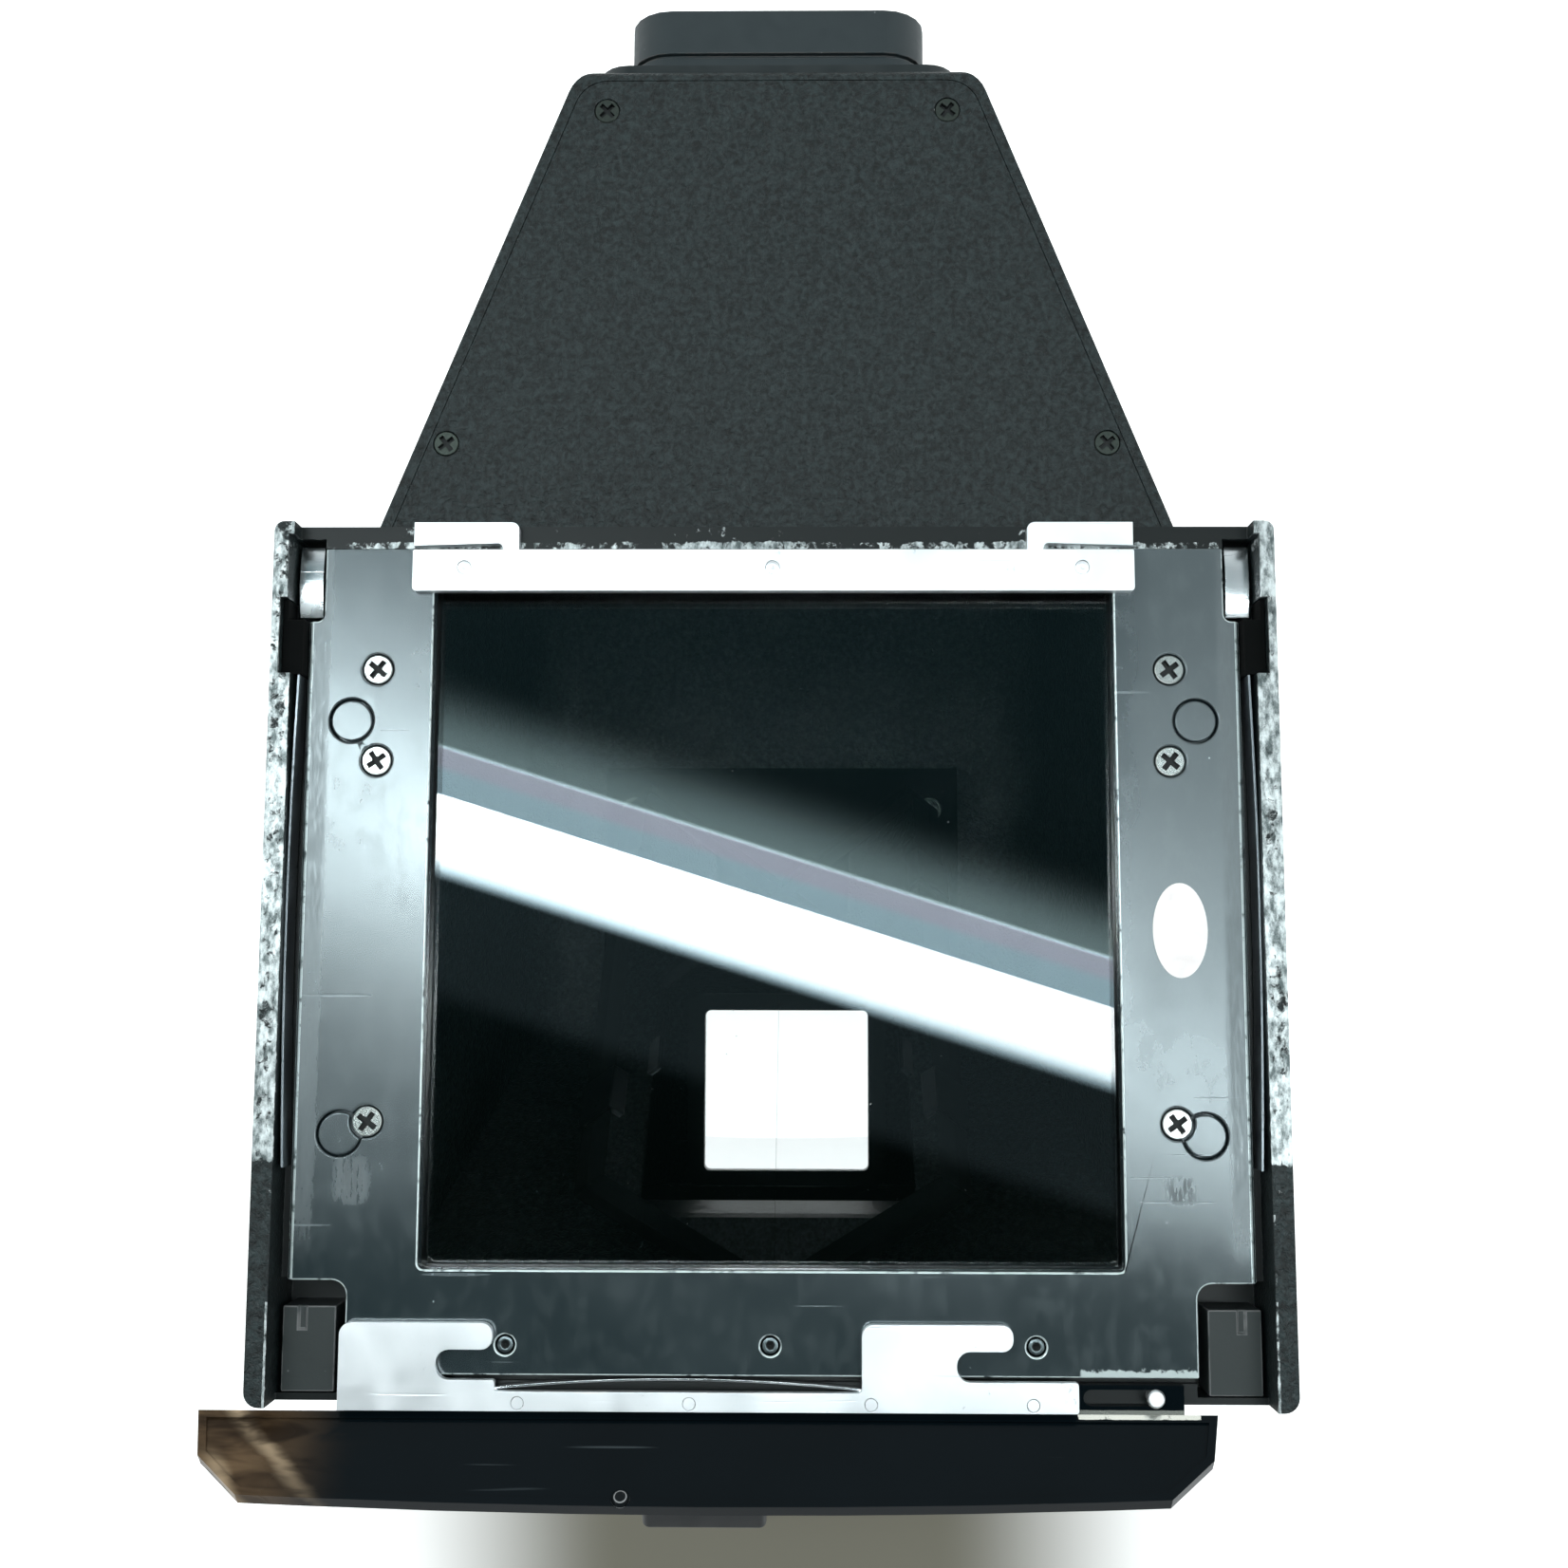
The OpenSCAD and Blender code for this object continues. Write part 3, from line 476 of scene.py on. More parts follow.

# %% [markdown]
# ## Plated and blued steel
#
# Chrome plate is a mirror that years of sliding have dulled to a soft shine, with
# straight scratches along the way it moves. The side springs are blued, the others
# bright. They are all metals, so one function makes them, with other colours and
# roughness, and a second one makes screw heads, whose recess is painted dark.


# %% Metals
def plated(name, dark, light, rough, scratch_amount=0.0, direction=0, dirt=0.0):
    f = Finish(name)
    cloud = f.noise(6, 3, 0.55, 0.5)
    brushed = f.noise(0.35, 2, 0.5, 0, (0.04, 1, 1), direction)
    scratch = f.scratches(0.8, scratch_amount, (direction, direction + 25, direction - 60))
    grime = (f.noise(1.3, 4, 0.6, 1, seed=9) * 0.7 + f.noise(7, 2, seed=8) * 0.5).fade(
        0.80 - dirt, 0.86 - dirt)
    base = f.mix(cloud, dark, light)
    base = f.mix(grime * min(1, dirt * 6), base, tuple(c * 0.25 for c in dark))
    base = f.mix(scratch * 0.35, base, tuple(c * 0.6 for c in dark))
    height = brushed * 0.006 - scratch * 0.012
    return f.done(
        f.bump(height, 0.7), Base_Color=base, Metallic=1.0,
        Roughness=cloud.fade(0.3, 0.7, rough - 0.05, rough + 0.06) + scratch * 0.12)


CHROME = plated("chrome_plate", (0.80, 0.82, 0.84), (0.97, 0.97, 0.98), 0.40, -0.03, 0, 0.06)
BLUED = plated("blued_spring", (0.16, 0.18, 0.20), (0.30, 0.33, 0.35), 0.34, 0.0, 90)
BRIGHT_SPRING = plated("bright_spring", (0.62, 0.65, 0.67), (0.85, 0.87, 0.88), 0.22, 0.0, 90)
BLACK_CLIP = plated("blackened_clip", (0.012, 0.014, 0.015), (0.03, 0.034, 0.036), 0.5, 0.0, 45)
CLIP_STEEL = plated("clip_steel", (0.42, 0.44, 0.45), (0.60, 0.62, 0.63), 0.3, 0.0, 45)


def screw_metal(name, dark, light, rough):
    """Metal of a screw head, with its cross recess painted dark."""
    f = Finish(name)
    pit = f.attribute("pit")
    cloud = f.noise(0.9, 3, 0.6)
    # grime: dark spots, and the recess faces marked pit painted dark
    grime = (cloud + pit * 0.9).fade(0.75, 0.95)
    base = f.mix(grime, f.mix(f.noise(0.3, 1, seed=6), dark, light), (0.008, 0.010, 0.010))
    return f.done(
        f.bump(f.noise(0.15, 2) * 0.01, 0.5), Base_Color=base, Metallic=0.95 - pit * 0.8,
        Roughness=grime.fade(0, 1, rough, 0.6))


SCREW_STEEL = screw_metal("zinc_screw", (0.26, 0.29, 0.28), (0.60, 0.62, 0.60), 0.26)
SCREW_BLACK = screw_metal("black_screw", (0.035, 0.045, 0.040), (0.075, 0.085, 0.075), 0.42)

# %% [markdown]
# ## Gloss lacquer on the lock plate
#
# The lock plate is the part that fingers touch, and its lacquer is smooth and black.
# How much it reflects is kept very low on purpose, because the plate slopes up towards
# a bright part of the room, and would look grey. At its left end the black turns
# brown, with two lighter streaks, one along the cut corner, which are painted
# reflections. A bared line along the bend at the right is wear and also a painted highlight.

# %% Gloss lacquer
LOCK_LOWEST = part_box("lock_plate")[0]
LEFT_END, TOP_EDGE = LOCK_LOWEST.x / MM, LOCK_LOWEST.y / MM
ROOT_EDGE = -49.2              # Y of the plate's bend


def gloss_lacquer(name):
    f = Finish(name)
    edge = f.attribute("edge")
    from_left = f.x - LEFT_END
    down = (ROOT_EDGE - f.y) / (ROOT_EDGE - TOP_EDGE)
    smear = f.noise(3.5, 3, 0.55, 1.2, (0.35, 1, 1))
    # worn marks the browner left end of the plate, fading to the right
    worn = (from_left + smear * 9).fade(9, 21, 1, 0)
    streak = abs(down * 11 - from_left + 1.8 + smear * 4).fade(0, 1.7, 1, 0)
    corner = abs(down * 7.5 - from_left - 1.2 + smear).fade(0, 1.5, 1, 0) * down.fade(0.3, 0.6)
    # glint: two lighter streaks across the brown end, painted reflections
    glint = (streak * 0.9).most(corner * 0.6) * worn * smear.fade(0.3, 0.6)
    scratch = f.scratches(1.4, -0.01, (20, -48, 64))
    # rubbed: a bared line along the bend at the right, also a painted highlight on the bend
    rubbed = (f.y - ROOT_EDGE).within(-0.35, 0.4, 0.15) * f.x.within(30.5, 42.5, 0.4)
    bare = (edge * 0.6 + rubbed * 0.8 + f.noise(0.9, 3, 0.6, seed=4) * 0.6).fade(0.97, 1.05)
    black = f.mix(f.noise(12, 2), (0.0012, 0.0030, 0.0040), (0.0026, 0.0052, 0.0072))
    brown_tone = f.mix(smear.fade(0.35, 0.7), (0.022, 0.013, 0.007), (0.125, 0.078, 0.042))
    base = f.mix(worn * 0.95, black, brown_tone)
    # the painted reflections' colour
    base = f.mix(glint * 0.6, base, (0.62, 0.46, 0.30))
    base = f.mix(edge * worn * 0.85, base, (0.004, 0.004, 0.004))
    base = f.mix(scratch * 0.12, base, (0.25, 0.3, 0.32))
    base = f.mix((bare * 0.5).most(rubbed * bare), base, (0.62, 0.62, 0.56))
    return f.done(
        f.bump(f.noise(4, 2) * 0.03 - scratch * 0.01, 0.5), Base_Color=base,
        Metallic=bare * 0.8, Roughness=worn.fade(0, 1, 0.16, 0.3) + scratch * 0.1,
        Specular_IOR_Level=0.05)


GLOSS = gloss_lacquer("gloss_lacquer")

# %% [markdown]
# ## Glass, mirrors and lenses
#
# Clear glass is a shader with full transmission. What makes it believable is what is
# on it: dust and a faint haze. The mirrors carry their silver on the front face only,
# so the shader looks at which way a face points.


# %% Glass
def clear_glass(name, tint, dust_amount):
    f = Finish(name)
    dust = f.cells(2.3).fade(0.03, 0.05, 1, 0) * (f.noise(3, 1) > 0.56)
    haze = f.noise(12, 3, 0.6, 1.5).fade(0.35, 0.8)
    base = f.mix(dust * dust_amount, tint, (0.5, 0.55, 0.55))
    return f.done(
        Base_Color=base, Roughness=(haze * 0.012 + dust * dust_amount * 0.3),
        Transmission_Weight=1.0, IOR=1.5)


WINDOW = clear_glass("window_glass", (0.97, 0.985, 0.985), 0.5)
LENS = clear_glass("coated_lens", (0.99, 0.99, 0.99), 0.1)


def silvered(name, side):
    """Front-silvered mirror: bright on the face that looks at the ridge, near black elsewhere."""
    f = Finish(name)
    facing = Vector((-side, 2 ** -0.5, 2 ** -0.5)).normalized()
    normal = f.node("ShaderNodeTexCoord", out="Normal")
    front = f.node("ShaderNodeVectorMath", {"operation": "DOT_PRODUCT"},
                   {0: normal, 1: facing}, out="Value") > 0.95
    speck = f.cells(2.8).fade(0.03, 0.06, 1, 0) * (f.noise(4, 1) > 0.55)
    # the other faces are painted near black
    ground = f.mix(f.noise(0.6, 2), (0.002, 0.003, 0.003), (0.005, 0.007, 0.007))
    silver = f.mix(speck * 0.6, (0.96, 0.97, 0.97), (0.3, 0.32, 0.3))
    return f.done(
        Base_Color=f.mix(front, ground, silver), Metallic=front,
        Roughness=0.8 - front * 0.79 + speck * front * 0.3, Specular_IOR_Level=0.1)


MIRROR_LEFT = silvered("silver_left", -1)
MIRROR_RIGHT = silvered("silver_right", 1)

# %% [markdown]
# ## Dull blacks, rubber and paper
#
# Light that strays inside a finder would fog the view, so its inner faces are matt
# black. The rubber eyecup and the foam gasket are dull too, each with its own grain.
# Their edges are lightened to the rubbed tone, as wear and as a painted highlight.


# %% Dull finishes
def dull(name, dark, light, grain_mm, depth, rough, specular=0.35, rubbed=0.05):
    f = Finish(name)
    grain = f.noise(grain_mm, 3, 0.6, 0.3)
    patch = f.noise(grain_mm * 14, 3, 0.55, 0.8, seed=2)
    dust = f.cells(grain_mm * 9).fade(0.04, 0.08, 1, 0) * (f.noise(3, 1, seed=5) > 0.55)
    worn = (f.attribute("edge") * 0.5 + patch * 0.5).fade(0.55, 0.95)
    base = f.mix(patch, dark, light)
    base = f.mix(worn * 0.5, base, tuple(c * 3.2 for c in light))
    # edges lightened to the rubbed tone: wear, and a painted highlight along them
    base = f.mix(f.attribute("edge") * patch.fade(0.35, 0.5), base, (rubbed,) * 3)
    base = f.mix(dust * 0.35, base, (0.4, 0.42, 0.42))
    return f.done(
        f.bump(grain * depth, 0.6), Base_Color=base,
        Roughness=patch.fade(0.3, 0.7, rough - 0.06, rough + 0.06), Specular_IOR_Level=specular)


INNER = dull("inner_black", (0.0015, 0.002, 0.002), (0.003, 0.0035, 0.0035), 0.3, 0.03, 0.85,
             0.08, 0.004)
MATT = dull("matt_black", (0.006, 0.007, 0.007), (0.012, 0.013, 0.013), 0.25, 0.03, 0.8, 0.15)
# the moulded blocks get the lightest edges of these: a painted highlight as well as wear
MOULDED = dull("moulded_black", (0.018, 0.023, 0.023), (0.034, 0.041, 0.040), 0.3, 0.02, 0.5,
               rubbed=0.13)
RUBBER = dull("eyecup_rubber", (0.013, 0.020, 0.023), (0.024, 0.034, 0.037), 0.18, 0.015, 0.55)
FOAM = dull("gasket_foam", (0.012, 0.012, 0.012), (0.03, 0.03, 0.03), 0.35, 0.12, 0.95, 0.1)
BUTTON = dull("button_black", (0.003, 0.004, 0.005), (0.006, 0.008, 0.009), 0.3, 0.01, 0.4,
              0.08, 0.02)
# the stop rivet's lighter edge is a painted highlight as well as wear
STOP = dull("rivet_black", (0.003, 0.004, 0.005), (0.006, 0.008, 0.009), 0.3, 0.01, 0.4,
            0.08, 0.22)
SATIN_FRAME = dull("frame_black", (0.012, 0.016, 0.017), (0.022, 0.028, 0.029), 0.3, 0.01, 0.38)


def label_paper(name):
    f = Finish(name)
    fibre = f.noise(0.25, 3, 0.6, 0.5, (1, 0.4, 1))
    stain = f.noise(4, 3, 0.6, 1)
    base = f.mix(stain.fade(0.4, 0.8), (0.93, 0.88, 0.87), (0.80, 0.72, 0.70))
    base = f.mix(f.attribute("edge") * 0.5, base, (0.55, 0.50, 0.46))
    return f.done(f.bump(fibre * 0.02, 0.6), Base_Color=base, Roughness=fibre.fade(0, 1, 0.55, 0.75))


PAPER = label_paper("label_paper")

# %% [markdown]
# ## Rounding the edges
#
# No real edge is razor sharp. The CAD solids are, and their meshes are loose
# triangles, so a copy is welded, flat neighbours are joined, and a Bevel modifier
# rounds what is left. The bevel gives its new faces a second material slot, which is
# read back as an attribute called edge, so that paint can wear there.


# %% Rounded copies
CREASE = 32                    # degrees: an edge that turns more than this is rounded


def loose_copy(node):
    """A welded copy of a CAD solid's mesh with flat faces joined."""
    work = bmesh.new()
    work.from_mesh(frame["nodes"][node].data)
    bmesh.ops.remove_doubles(work, verts=work.verts, dist=2e-6)
    bmesh.ops.dissolve_limit(work, angle_limit=radians(0.4), verts=work.verts, edges=work.edges)
    mesh = bpy.data.meshes.new(node + "_copy")
    work.to_mesh(mesh)
    work.free()
    return mesh


def adopt(piece, node, material):
    """Gives a finished piece its material, body and slot in the place of a CAD node."""
    piece.data.materials.clear()
    piece.data.materials.append(material)
    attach(piece, BODY[node])
    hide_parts(node)
    return piece


def baked_mesh(piece, name):
    """The mesh of an object with its modifiers applied."""
    bpy.context.view_layer.update()
    graph = bpy.context.evaluated_depsgraph_get()
    mesh = bpy.data.meshes.new_from_object(piece.evaluated_get(graph))
    mesh.name = name
    return mesh


def rounded(node, width, material, segments=2, clamp=True):
    """Stands a copy with rounded edges in the place of a CAD node; width is in mm."""
    mesh = loose_copy(node)
    mesh.materials.append(material)
    mesh.materials.append(material)
    piece = bpy.data.objects.new(node + "_rounded", mesh)
    scene.collection.objects.link(piece)
    bevel = piece.modifiers.new("edge_round", "BEVEL")
    bevel.width = mm(width)
    bevel.segments = segments
    bevel.limit_method = "ANGLE"
    bevel.angle_limit = radians(CREASE)
    bevel.use_clamp_overlap = clamp
    bevel.material = 1
    made = baked_mesh(piece, node + "_rounded")
    piece.modifiers.clear()
    piece.data = made
    bevelled = [float(face.material_index == 1) for face in made.polygons]
    made.attributes.new("edge", "FLOAT", "FACE").data.foreach_set("value", bevelled)
    made.polygons.foreach_set("material_index", [0] * len(made.polygons))
    made.shade_smooth()
    made.set_sharp_from_angle(angle=radians(CREASE + 6))
    flatten = piece.modifiers.new("flat_faces", "WEIGHTED_NORMAL")
    flatten.keep_sharp = True
    adopt(piece, node, material)
    print(f"{node}: {len(made.polygons)} faces, {int(sum(bevelled))} of them on edges")
    return piece


# %% [markdown]
# ## The housing and the seat
#
# The big pieces come first. A cast wall gets a radius of a quarter of a millimetre,
# the seat plate 0.17 and its discs 0.2. The seat's radius isn't clamped, because the
# clamp shrinks every edge of the plate to suit its tightest corner. The price is that
# some of its new faces cross.

# %% Housing, cover and seat
rounded("housing_shell", 0.25, WRINKLE_HOUSING)
rounded("bottom_cover", 0.15, WRINKLE_COVER)
rounded("seat_plate", 0.17, SATIN, clamp=False)
rounded("index_discs", 0.2, SATIN_DISC)
for side in ("left", "right"):
    rounded(f"corner_block_{side}", 0.15, MOULDED)
    rounded(f"spring_block_{side}", 0.12, INNER)
    rounded(f"corner_spring_{side}", 0.05, BRIGHT_SPRING)
    rounded(f"side_spring_{side}", 0.04, BLUED)
rounded("inspection_label", 0.02, PAPER)
rounded("rear_hook_bar", 0.15, CHROME)
rounded("guide_pins", 0.08, CHROME)

# %% [markdown]
# ## The lock slide and its button
#
# One plate carries the hooks, the bowed spring and the release button. They slide
# together, so all of them ride on the same body, and only the button has its own.

# %% Lock slide
rounded("lock_plate", 0.12, GLOSS)
rounded("hook_plate", 0.1, CHROME)
rounded("hook_rivets", 0.03, CHROME)
rounded("slide_spring", 0.04, BRIGHT_SPRING)
rounded("stop_rivet", 0.08, STOP)
rounded("button_guide", 0.2, SATIN_FRAME)
rounded("guide_rivets", 0.1, SATIN_FRAME)
rounded("button_spring", 0.04, CLIP_STEEL)
rounded("release_button", 0.3, BUTTON, 3)

# %% [markdown]
# ## The eyepiece
#
# Rubber is moulded with generous radii. The frame behind it is a turned and milled
# alloy piece with smaller ones.

# %% Eyepiece
rounded("eyecup", 0.5, RUBBER, 4)
rounded("eyepiece_frame", 0.25, SATIN_FRAME)
rounded("lens_retainer", 0.15, MATT)

# %% [markdown]
# ## Inside
#
# The cradle, the clips and the baffle are rounded like the rest. The window and its
# gasket, the mirrors and the lenses keep their exact CAD shapes and only need finishes,
# because light has to meet the optics at the right angles.

# %% Inner pieces
rounded("mirror_cradle", 0.2, INNER)
rounded("mirror_clips", 0.08, BLACK_CLIP)
rounded("tail_baffle", 0.1, INNER)
INSIDE = {
    "window_glass": WINDOW, "window_gasket": FOAM, "mirror_left": MIRROR_LEFT,
    "mirror_right": MIRROR_RIGHT, "eye_lens": LENS, "field_lens": LENS}
for node, material in INSIDE.items():
    data = frame["nodes"][node].data
    data.materials.clear()
    data.materials.append(material)
print("finished in place:", ", ".join(INSIDE))

# %% [markdown]
# ## Screws
#
# Eighteen countersunk screws differ only in size, colour and which way they face. One
# Geometry Nodes tree makes the head: a disc with a chamfered rim, from which two
# crossed bars are cut. It is instanced on one point per screw, each turned by a
# random angle from a fixed seed, as a person with a screwdriver leaves them. Like the
# materials, the trees are made through a small class.


# %% Geometry Nodes helper
class Recipe:
    """A Geometry Nodes tree under construction, with named inputs."""

    def __init__(self, name):
        self.tree = bpy.data.node_groups.new(name, "GeometryNodeTree")
        self.tree.interface.new_socket("Geometry", in_out="OUTPUT", socket_type="NodeSocketGeometry")
        self.tree.interface.new_socket("Geometry", in_out="INPUT", socket_type="NodeSocketGeometry")
        self.start = self.tree.nodes.new("NodeGroupInput")
        self.end = self.tree.nodes.new("NodeGroupOutput")

    def ask(self, name, kind, default):
        """Adds a named input and returns its socket."""
        item = self.tree.interface.new_socket(name, in_out="INPUT", socket_type=kind)
        if default is not None:
            item.default_value = default
        return self.start.outputs[name]

    def node(self, kind, settings=None, values=None, out=0):
        made = self.tree.nodes.new(kind)
        for name, value in (settings or {}).items():
            setattr(made, name, value)
        for name, value in (values or {}).items():
            if isinstance(value, list):
                for part in value:
                    self.tree.links.new(part, made.inputs[name])
            elif isinstance(value, bpy.types.NodeSocket):
                self.tree.links.new(value, made.inputs[name])
            else:
                made.inputs[name].default_value = value
        return made.outputs[out]

    def math(self, operation, *values):
        return self.node("ShaderNodeMath", {"operation": operation}, dict(enumerate(values)))

    def join(self, *parts):
        return self.node("GeometryNodeJoinGeometry", values={0: list(parts)})

    def raised(self, geometry, height):
        """Geometry moved along Z."""
        offset = self.node("ShaderNodeCombineXYZ", values={"Z": height})
        return self.node("GeometryNodeTransform", values={0: geometry, "Translation": offset})

    def place(self):
        """Each point's height, and its distance from the Z axis."""
        point = self.node("GeometryNodeInputPosition")
        height = self.node("ShaderNodeSeparateXYZ", values={0: point}, out="Z")
        level = self.node("ShaderNodeVectorMath", {"operation": "MULTIPLY"}, {0: point, 1: (1, 1, 0)})
        reach = self.node("ShaderNodeVectorMath", {"operation": "LENGTH"}, {0: level}, out="Value")
        return height, reach

    def marked(self, geometry, pit):
        """Geometry whose faces carry the attribute pit, which the finish paints dark."""
        return self.node("GeometryNodeStoreNamedAttribute", {"data_type": "FLOAT", "domain": "FACE"}, {
            0: geometry, "Name": "pit", "Value": pit})

    def finish(self, geometry):
        self.tree.links.new(geometry, self.end.inputs[0])
        return self.tree


def place_on_points(recipe, shape):
    """Instances a shape on the points: out along Axis, turned at random about it."""
    spread = recipe.ask("Turn Spread", "NodeSocketFloat", radians(14))
    seed = recipe.ask("Seed", "NodeSocketInt", 1)
    axis = recipe.ask("Axis", "NodeSocketVector", (0, 0, 1))
    material = recipe.ask("Material", "NodeSocketMaterial", None)
    back = recipe.math("MULTIPLY", spread, -1)
    angle = recipe.node("FunctionNodeRandomValue", {"data_type": "FLOAT"},
                        {2: back, 3: spread, "Seed": seed}, out=1)
    spin = recipe.node("FunctionNodeAxisAngleToRotation", values={"Axis": (0, 0, 1), "Angle": angle})
    outward = recipe.node("FunctionNodeAlignRotationToVector", {"axis": "Z"}, {"Vector": axis})
    turned = recipe.node("FunctionNodeRotateRotation", {"rotation_space": "LOCAL"},
                         {0: outward, 1: spin})
    placed = recipe.node("GeometryNodeInstanceOnPoints", values={
        "Points": recipe.start.outputs["Geometry"], "Instance": shape, "Rotation": turned})
    real = recipe.node("GeometryNodeRealizeInstances", values={0: placed})
    return recipe.finish(recipe.node(
        "GeometryNodeSetMaterial", values={"Geometry": real, "Material": material}))

# %% [markdown]
# The head is a disc, a chamfered shoulder, a cone under it and a small base, joined
# into one closed solid so that a boolean can cut the cross out of it. The faces of the
# recess are marked as pit, which the metal's finish paints dark.


# %% Screw head tree
UNDER = 0.5                    # radius of the cone's lower end, as a share of the head's


def screw_tree():
    r = Recipe("countersunk_screw")
    radius = r.ask("Head Radius", "NodeSocketFloat", 0.00165)
    depth = r.ask("Head Depth", "NodeSocketFloat", 0.0012)
    rim = r.ask("Rim Chamfer", "NodeSocketFloat", 0.0001)
    slot_width = r.ask("Slot Width", "NodeSocketFloat", 0.0005)
    slot_length = r.ask("Slot Length", "NodeSocketFloat", 0.0021)
    slot_depth = r.ask("Slot Depth", "NodeSocketFloat", 0.0007)
    flat = r.math("SUBTRACT", radius, rim)
    top = r.node("GeometryNodeMeshCircle", {"fill_type": "NGON"}, {"Vertices": 36, "Radius": flat})
    shoulder = r.raised(r.node("GeometryNodeMeshCone", {"fill_type": "NONE"}, {
        "Vertices": 36, "Radius Top": flat, "Radius Bottom": radius, "Depth": rim}),
        r.math("MULTIPLY", rim, -1))
    bottom = r.math("MULTIPLY", depth, -1)
    under = r.raised(r.node("GeometryNodeMeshCone", {"fill_type": "NONE"}, {
        "Vertices": 36, "Radius Top": radius, "Radius Bottom": r.math("MULTIPLY", radius, UNDER),
        "Depth": r.math("SUBTRACT", depth, rim)}), bottom)
    base = r.node("GeometryNodeMeshCircle", {"fill_type": "NGON"}, {
        "Vertices": 36, "Radius": r.math("MULTIPLY", radius, UNDER)})
    base = r.raised(r.node("GeometryNodeFlipFaces", values={0: base}), bottom)
    head = r.node("GeometryNodeMergeByDistance", values={
        0: r.join(top, shoulder, under, base), "Distance": 1e-6})
    bars = []
    for angle in (45, 135):
        bar = r.node("GeometryNodeMeshCube", values={"Size": r.node("ShaderNodeCombineXYZ", values={
            "X": slot_length, "Y": slot_width, "Z": r.math("MULTIPLY", slot_depth, 2)})})
        bars.append(r.node("GeometryNodeTransform", values={
            0: bar, "Rotation": (0, 0, radians(angle))}))
    cut = r.node("GeometryNodeMeshBoolean", {"operation": "DIFFERENCE", "solver": "EXACT"},
                 {0: head, 1: bars})
    height, reach = r.place()
    low = r.math("LESS_THAN", height, -0.00003)
    near = r.math("LESS_THAN", reach, r.math("MULTIPLY", slot_length, 0.56))
    return place_on_points(r, r.marked(cut, r.math("MULTIPLY", low, near)))


SCREW_TREE = screw_tree()
print("screw tree:", len(SCREW_TREE.nodes), "nodes")

# %% [markdown]
# Where the screws go comes from the CAD solids: each separate solid of a node has a box,
# and the head's point is the middle of the box's outer face. The plate screws' heads are
# drawn 1.52 mm in radius instead of the CAD's 1.65, so that a dark ring shows round each.


# %% Screws in their places
def solids(node):
    """The box of each separate solid in a CAD node, as (lowest, highest) corners."""
    work = bmesh.new()
    work.from_mesh(frame["nodes"][node].data)
    bmesh.ops.remove_doubles(work, verts=work.verts, dist=2e-6)
    left, found = set(work.verts), []
    while left:
        group, queue = set(), [left.pop()]
        while queue:
            vertex = queue.pop()
            group.add(vertex)
            for edge in vertex.link_edges:
                other = edge.other_vert(vertex)
                if other in left:
                    left.discard(other)
                    queue.append(other)
        places = [vertex.co.copy() for vertex in group]
        found.append((Vector(map(min, zip(*places))), Vector(map(max, zip(*places)))))
    work.free()
    return sorted(found, key=lambda box: tuple(round(v, 5) for v in box[0]))


def instanced(node, tree, inputs, axis, material):
    """One mesh for all the solids of a CAD node, made by a tree on one point each."""
    points = []
    for low, high in solids(node):
        middle, half = (low + high) / 2, (high - low) / 2
        points.append(middle + Vector(axis) * abs(half.dot(Vector(axis))))
    cloud = bpy.data.meshes.new(node + "_points")
    cloud.from_pydata(points, [], [])
    piece = bpy.data.objects.new(node + "_turned", cloud)
    scene.collection.objects.link(piece)
    modifier = piece.modifiers.new("maker", "NODES")
    modifier.node_group = tree
    values = {**inputs, "Axis": axis, "Material": material}
    for item in tree.interface.items_tree:
        if item.in_out == "INPUT" and item.name in values:
            modifier[item.identifier] = values[item.name]
    made = baked_mesh(piece, node + "_turned")
    piece.modifiers.clear()
    piece.data = made
    made.shade_smooth()
    made.set_sharp_from_angle(angle=radians(30))
    adopt(piece, node, material)
    print(f"{node}: {len(points)} of {len(made.polygons) // max(1, len(points))} faces each")
    return piece


def screws(node, head_radius, head_depth, seed, axis, material):
    return instanced(node, SCREW_TREE, {
        "Head Radius": mm(head_radius), "Head Depth": mm(head_depth), "Rim Chamfer": mm(0.12),
        "Slot Width": mm(head_radius * 0.38), "Slot Length": mm(head_radius * 1.42),
        "Slot Depth": mm(0.65), "Seed": seed}, axis, material)


screws("plate_screws", 1.52, 1.1, 4, (0, 0, 1), SCREW_STEEL)
screws("cover_screws", 1.45, 1.1, 2, (0, 0, 1), SCREW_BLACK)
screws("eyepiece_screws", 1.1, 0.9, 3, (0, 1, 0), SCREW_BLACK)
screws("cradle_screws", 1.7, 1.1, 5, (0, 0, 1), SCREW_BLACK)

# %% [markdown]
# ## Rivets
#
# A rivet's end is a disc with a low crown and the dent of the punch that closed it.
# A cylinder with rings on its caps is bent to that shape: each point of the top drops
# with its distance from the middle, and the middle itself is pressed in. The front
# rivets are drawn 0.78 mm in radius instead of the CAD's 0.95, for a dark ring too.


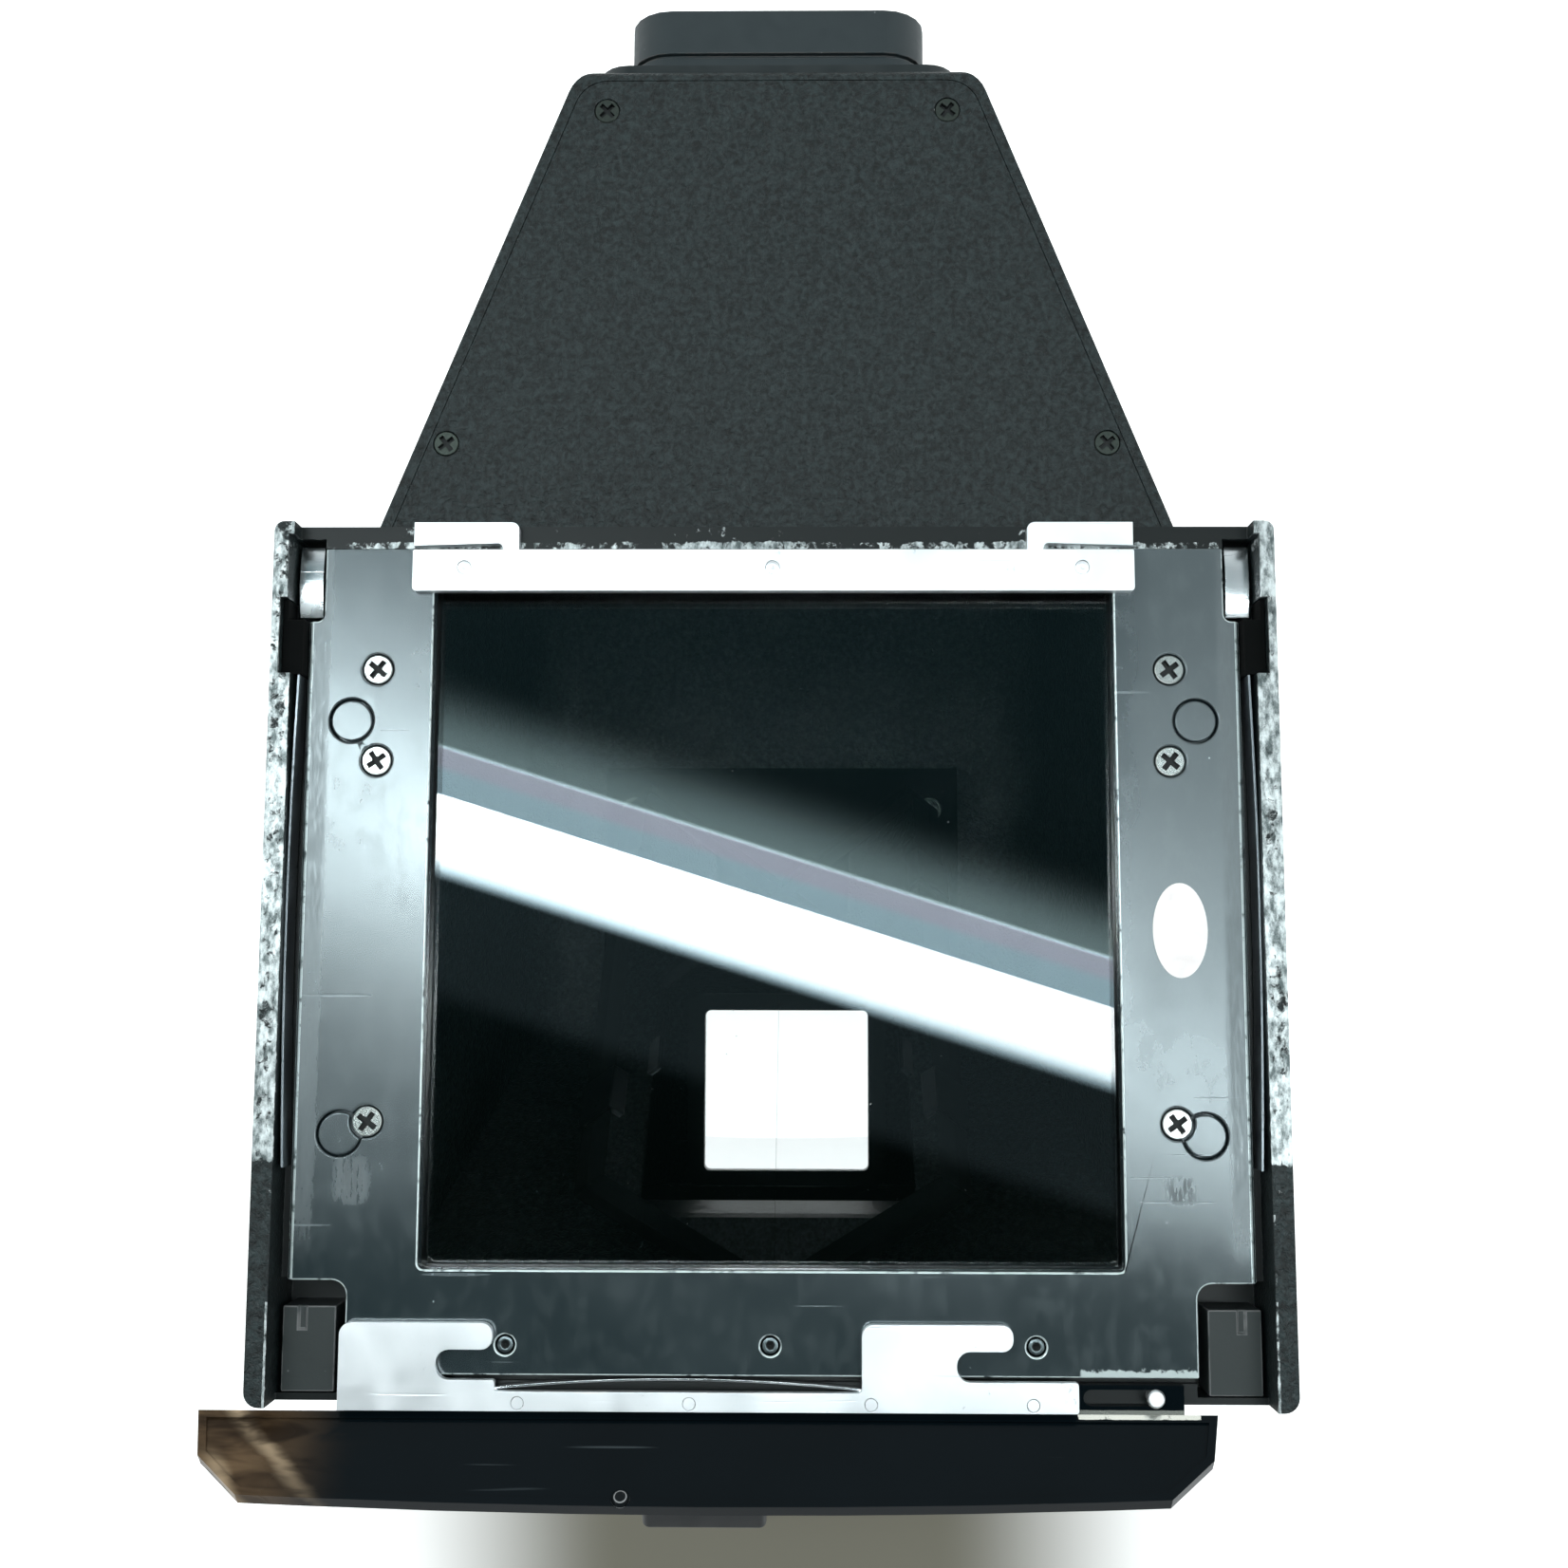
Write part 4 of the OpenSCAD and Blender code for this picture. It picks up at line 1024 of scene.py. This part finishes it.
# %% Rivet tree
def rivet_tree():
    r = Recipe("punched_rivet")
    radius = r.ask("Radius", "NodeSocketFloat", 0.0009)
    length = r.ask("Length", "NodeSocketFloat", 0.001)
    crown = r.ask("Crown", "NodeSocketFloat", 0.0001)
    dent = r.ask("Dent", "NodeSocketFloat", 0.0003)
    dent_radius = r.ask("Dent Radius", "NodeSocketFloat", 0.0005)
    body = r.node("GeometryNodeMeshCylinder", {"fill_type": "TRIANGLE_FAN"}, {
        "Vertices": 28, "Side Segments": 1, "Fill Segments": 9, "Radius": radius, "Depth": length})
    body = r.raised(body, r.math("MULTIPLY", length, -0.5))
    height, reach = r.place()
    share = r.math("DIVIDE", reach, radius)
    fall = r.math("MULTIPLY", r.math("POWER", share, 4), crown)
    cup = r.node("ShaderNodeMapRange", {"interpolation_type": "SMOOTHSTEP"}, {
        "Value": reach, "From Min": 0, "From Max": dent_radius, "To Min": dent, "To Max": 0})
    drop = r.math("MULTIPLY", r.math("ADD", fall, cup), -1)
    shaped = r.node("GeometryNodeSetPosition", values={
        0: body, "Selection": r.math("GREATER_THAN", height, -1e-6),
        "Offset": r.node("ShaderNodeCombineXYZ", values={"Z": drop})})
    pit = r.math("LESS_THAN", reach, r.math("MULTIPLY", dent_radius, 0.8))
    return place_on_points(r, r.marked(shaped, pit))


RIVET_TREE = rivet_tree()
RIVET_STEEL = screw_metal("rivet_steel", (0.05, 0.065, 0.07), (0.22, 0.26, 0.27), 0.35)


def rivets(node, radius, length, dent, dent_radius, material):
    return instanced(node, RIVET_TREE, {
        "Radius": mm(radius), "Length": mm(length), "Crown": mm(0.06), "Dent": mm(dent),
        "Dent Radius": mm(dent_radius)}, (0, 0, 1), material)


rivets("front_rivets", 0.78, 4.0, 0.5, 0.5, RIVET_STEEL)
rivets("hook_bar_rivets", 0.7, 2.0, 0.1, 0.3, CHROME)

# %% [markdown]
# ## The table
#
# A white sheet under the finder. It glows a little, as white paper does when it is
# bright enough to burn out. A soft grey patch is painted in front, in the place of the
# shadow of whoever looks down at it.


# %% Table
SHADE_SIDE = (26, 72)          # the painted shade fades between these, to each side
SHADE_NEAR = (-58, -50)        # and between these Y, towards the finder
SHADE_FAR = (-128, -92)        # and away from it


def table_finish():
    f = Finish("table_white")
    cloud = f.noise(60, 2, 0.5)
    shade = (abs(f.x + 1) + cloud * 8).fade(*SHADE_SIDE, 1, 0) * f.y.fade(*SHADE_NEAR, 1, 0)
    shade = shade * f.y.fade(*SHADE_FAR)
    white = f.mix(cloud, (0.80, 0.80, 0.79), (0.84, 0.84, 0.83))
    return f.done(
        Base_Color=f.mix(shade, white, (0.165, 0.150, 0.114)), Roughness=0.8,
        Emission_Color=f.mix(shade, (0.7, 0.7, 0.7), (0, 0, 0)), Emission_Strength=1.0)


def table(half, level):
    mesh = bpy.data.meshes.new("table")
    corners = [(-half, -half, level), (half, -half, level), (half, half, level), (-half, half, level)]
    mesh.from_pydata(corners, [], [(0, 1, 2, 3)])
    mesh.materials.append(table_finish())
    top = bpy.data.objects.new("table", mesh)
    scene.collection.objects.link(top)
    return top


table(1.5, cad_box[0][2] - mm(0.05))
print("table at", round(cad_box[0][2], 4))

# %% [markdown]
# ## The box
#
# The finished model must fill the same box as the CAD solids.
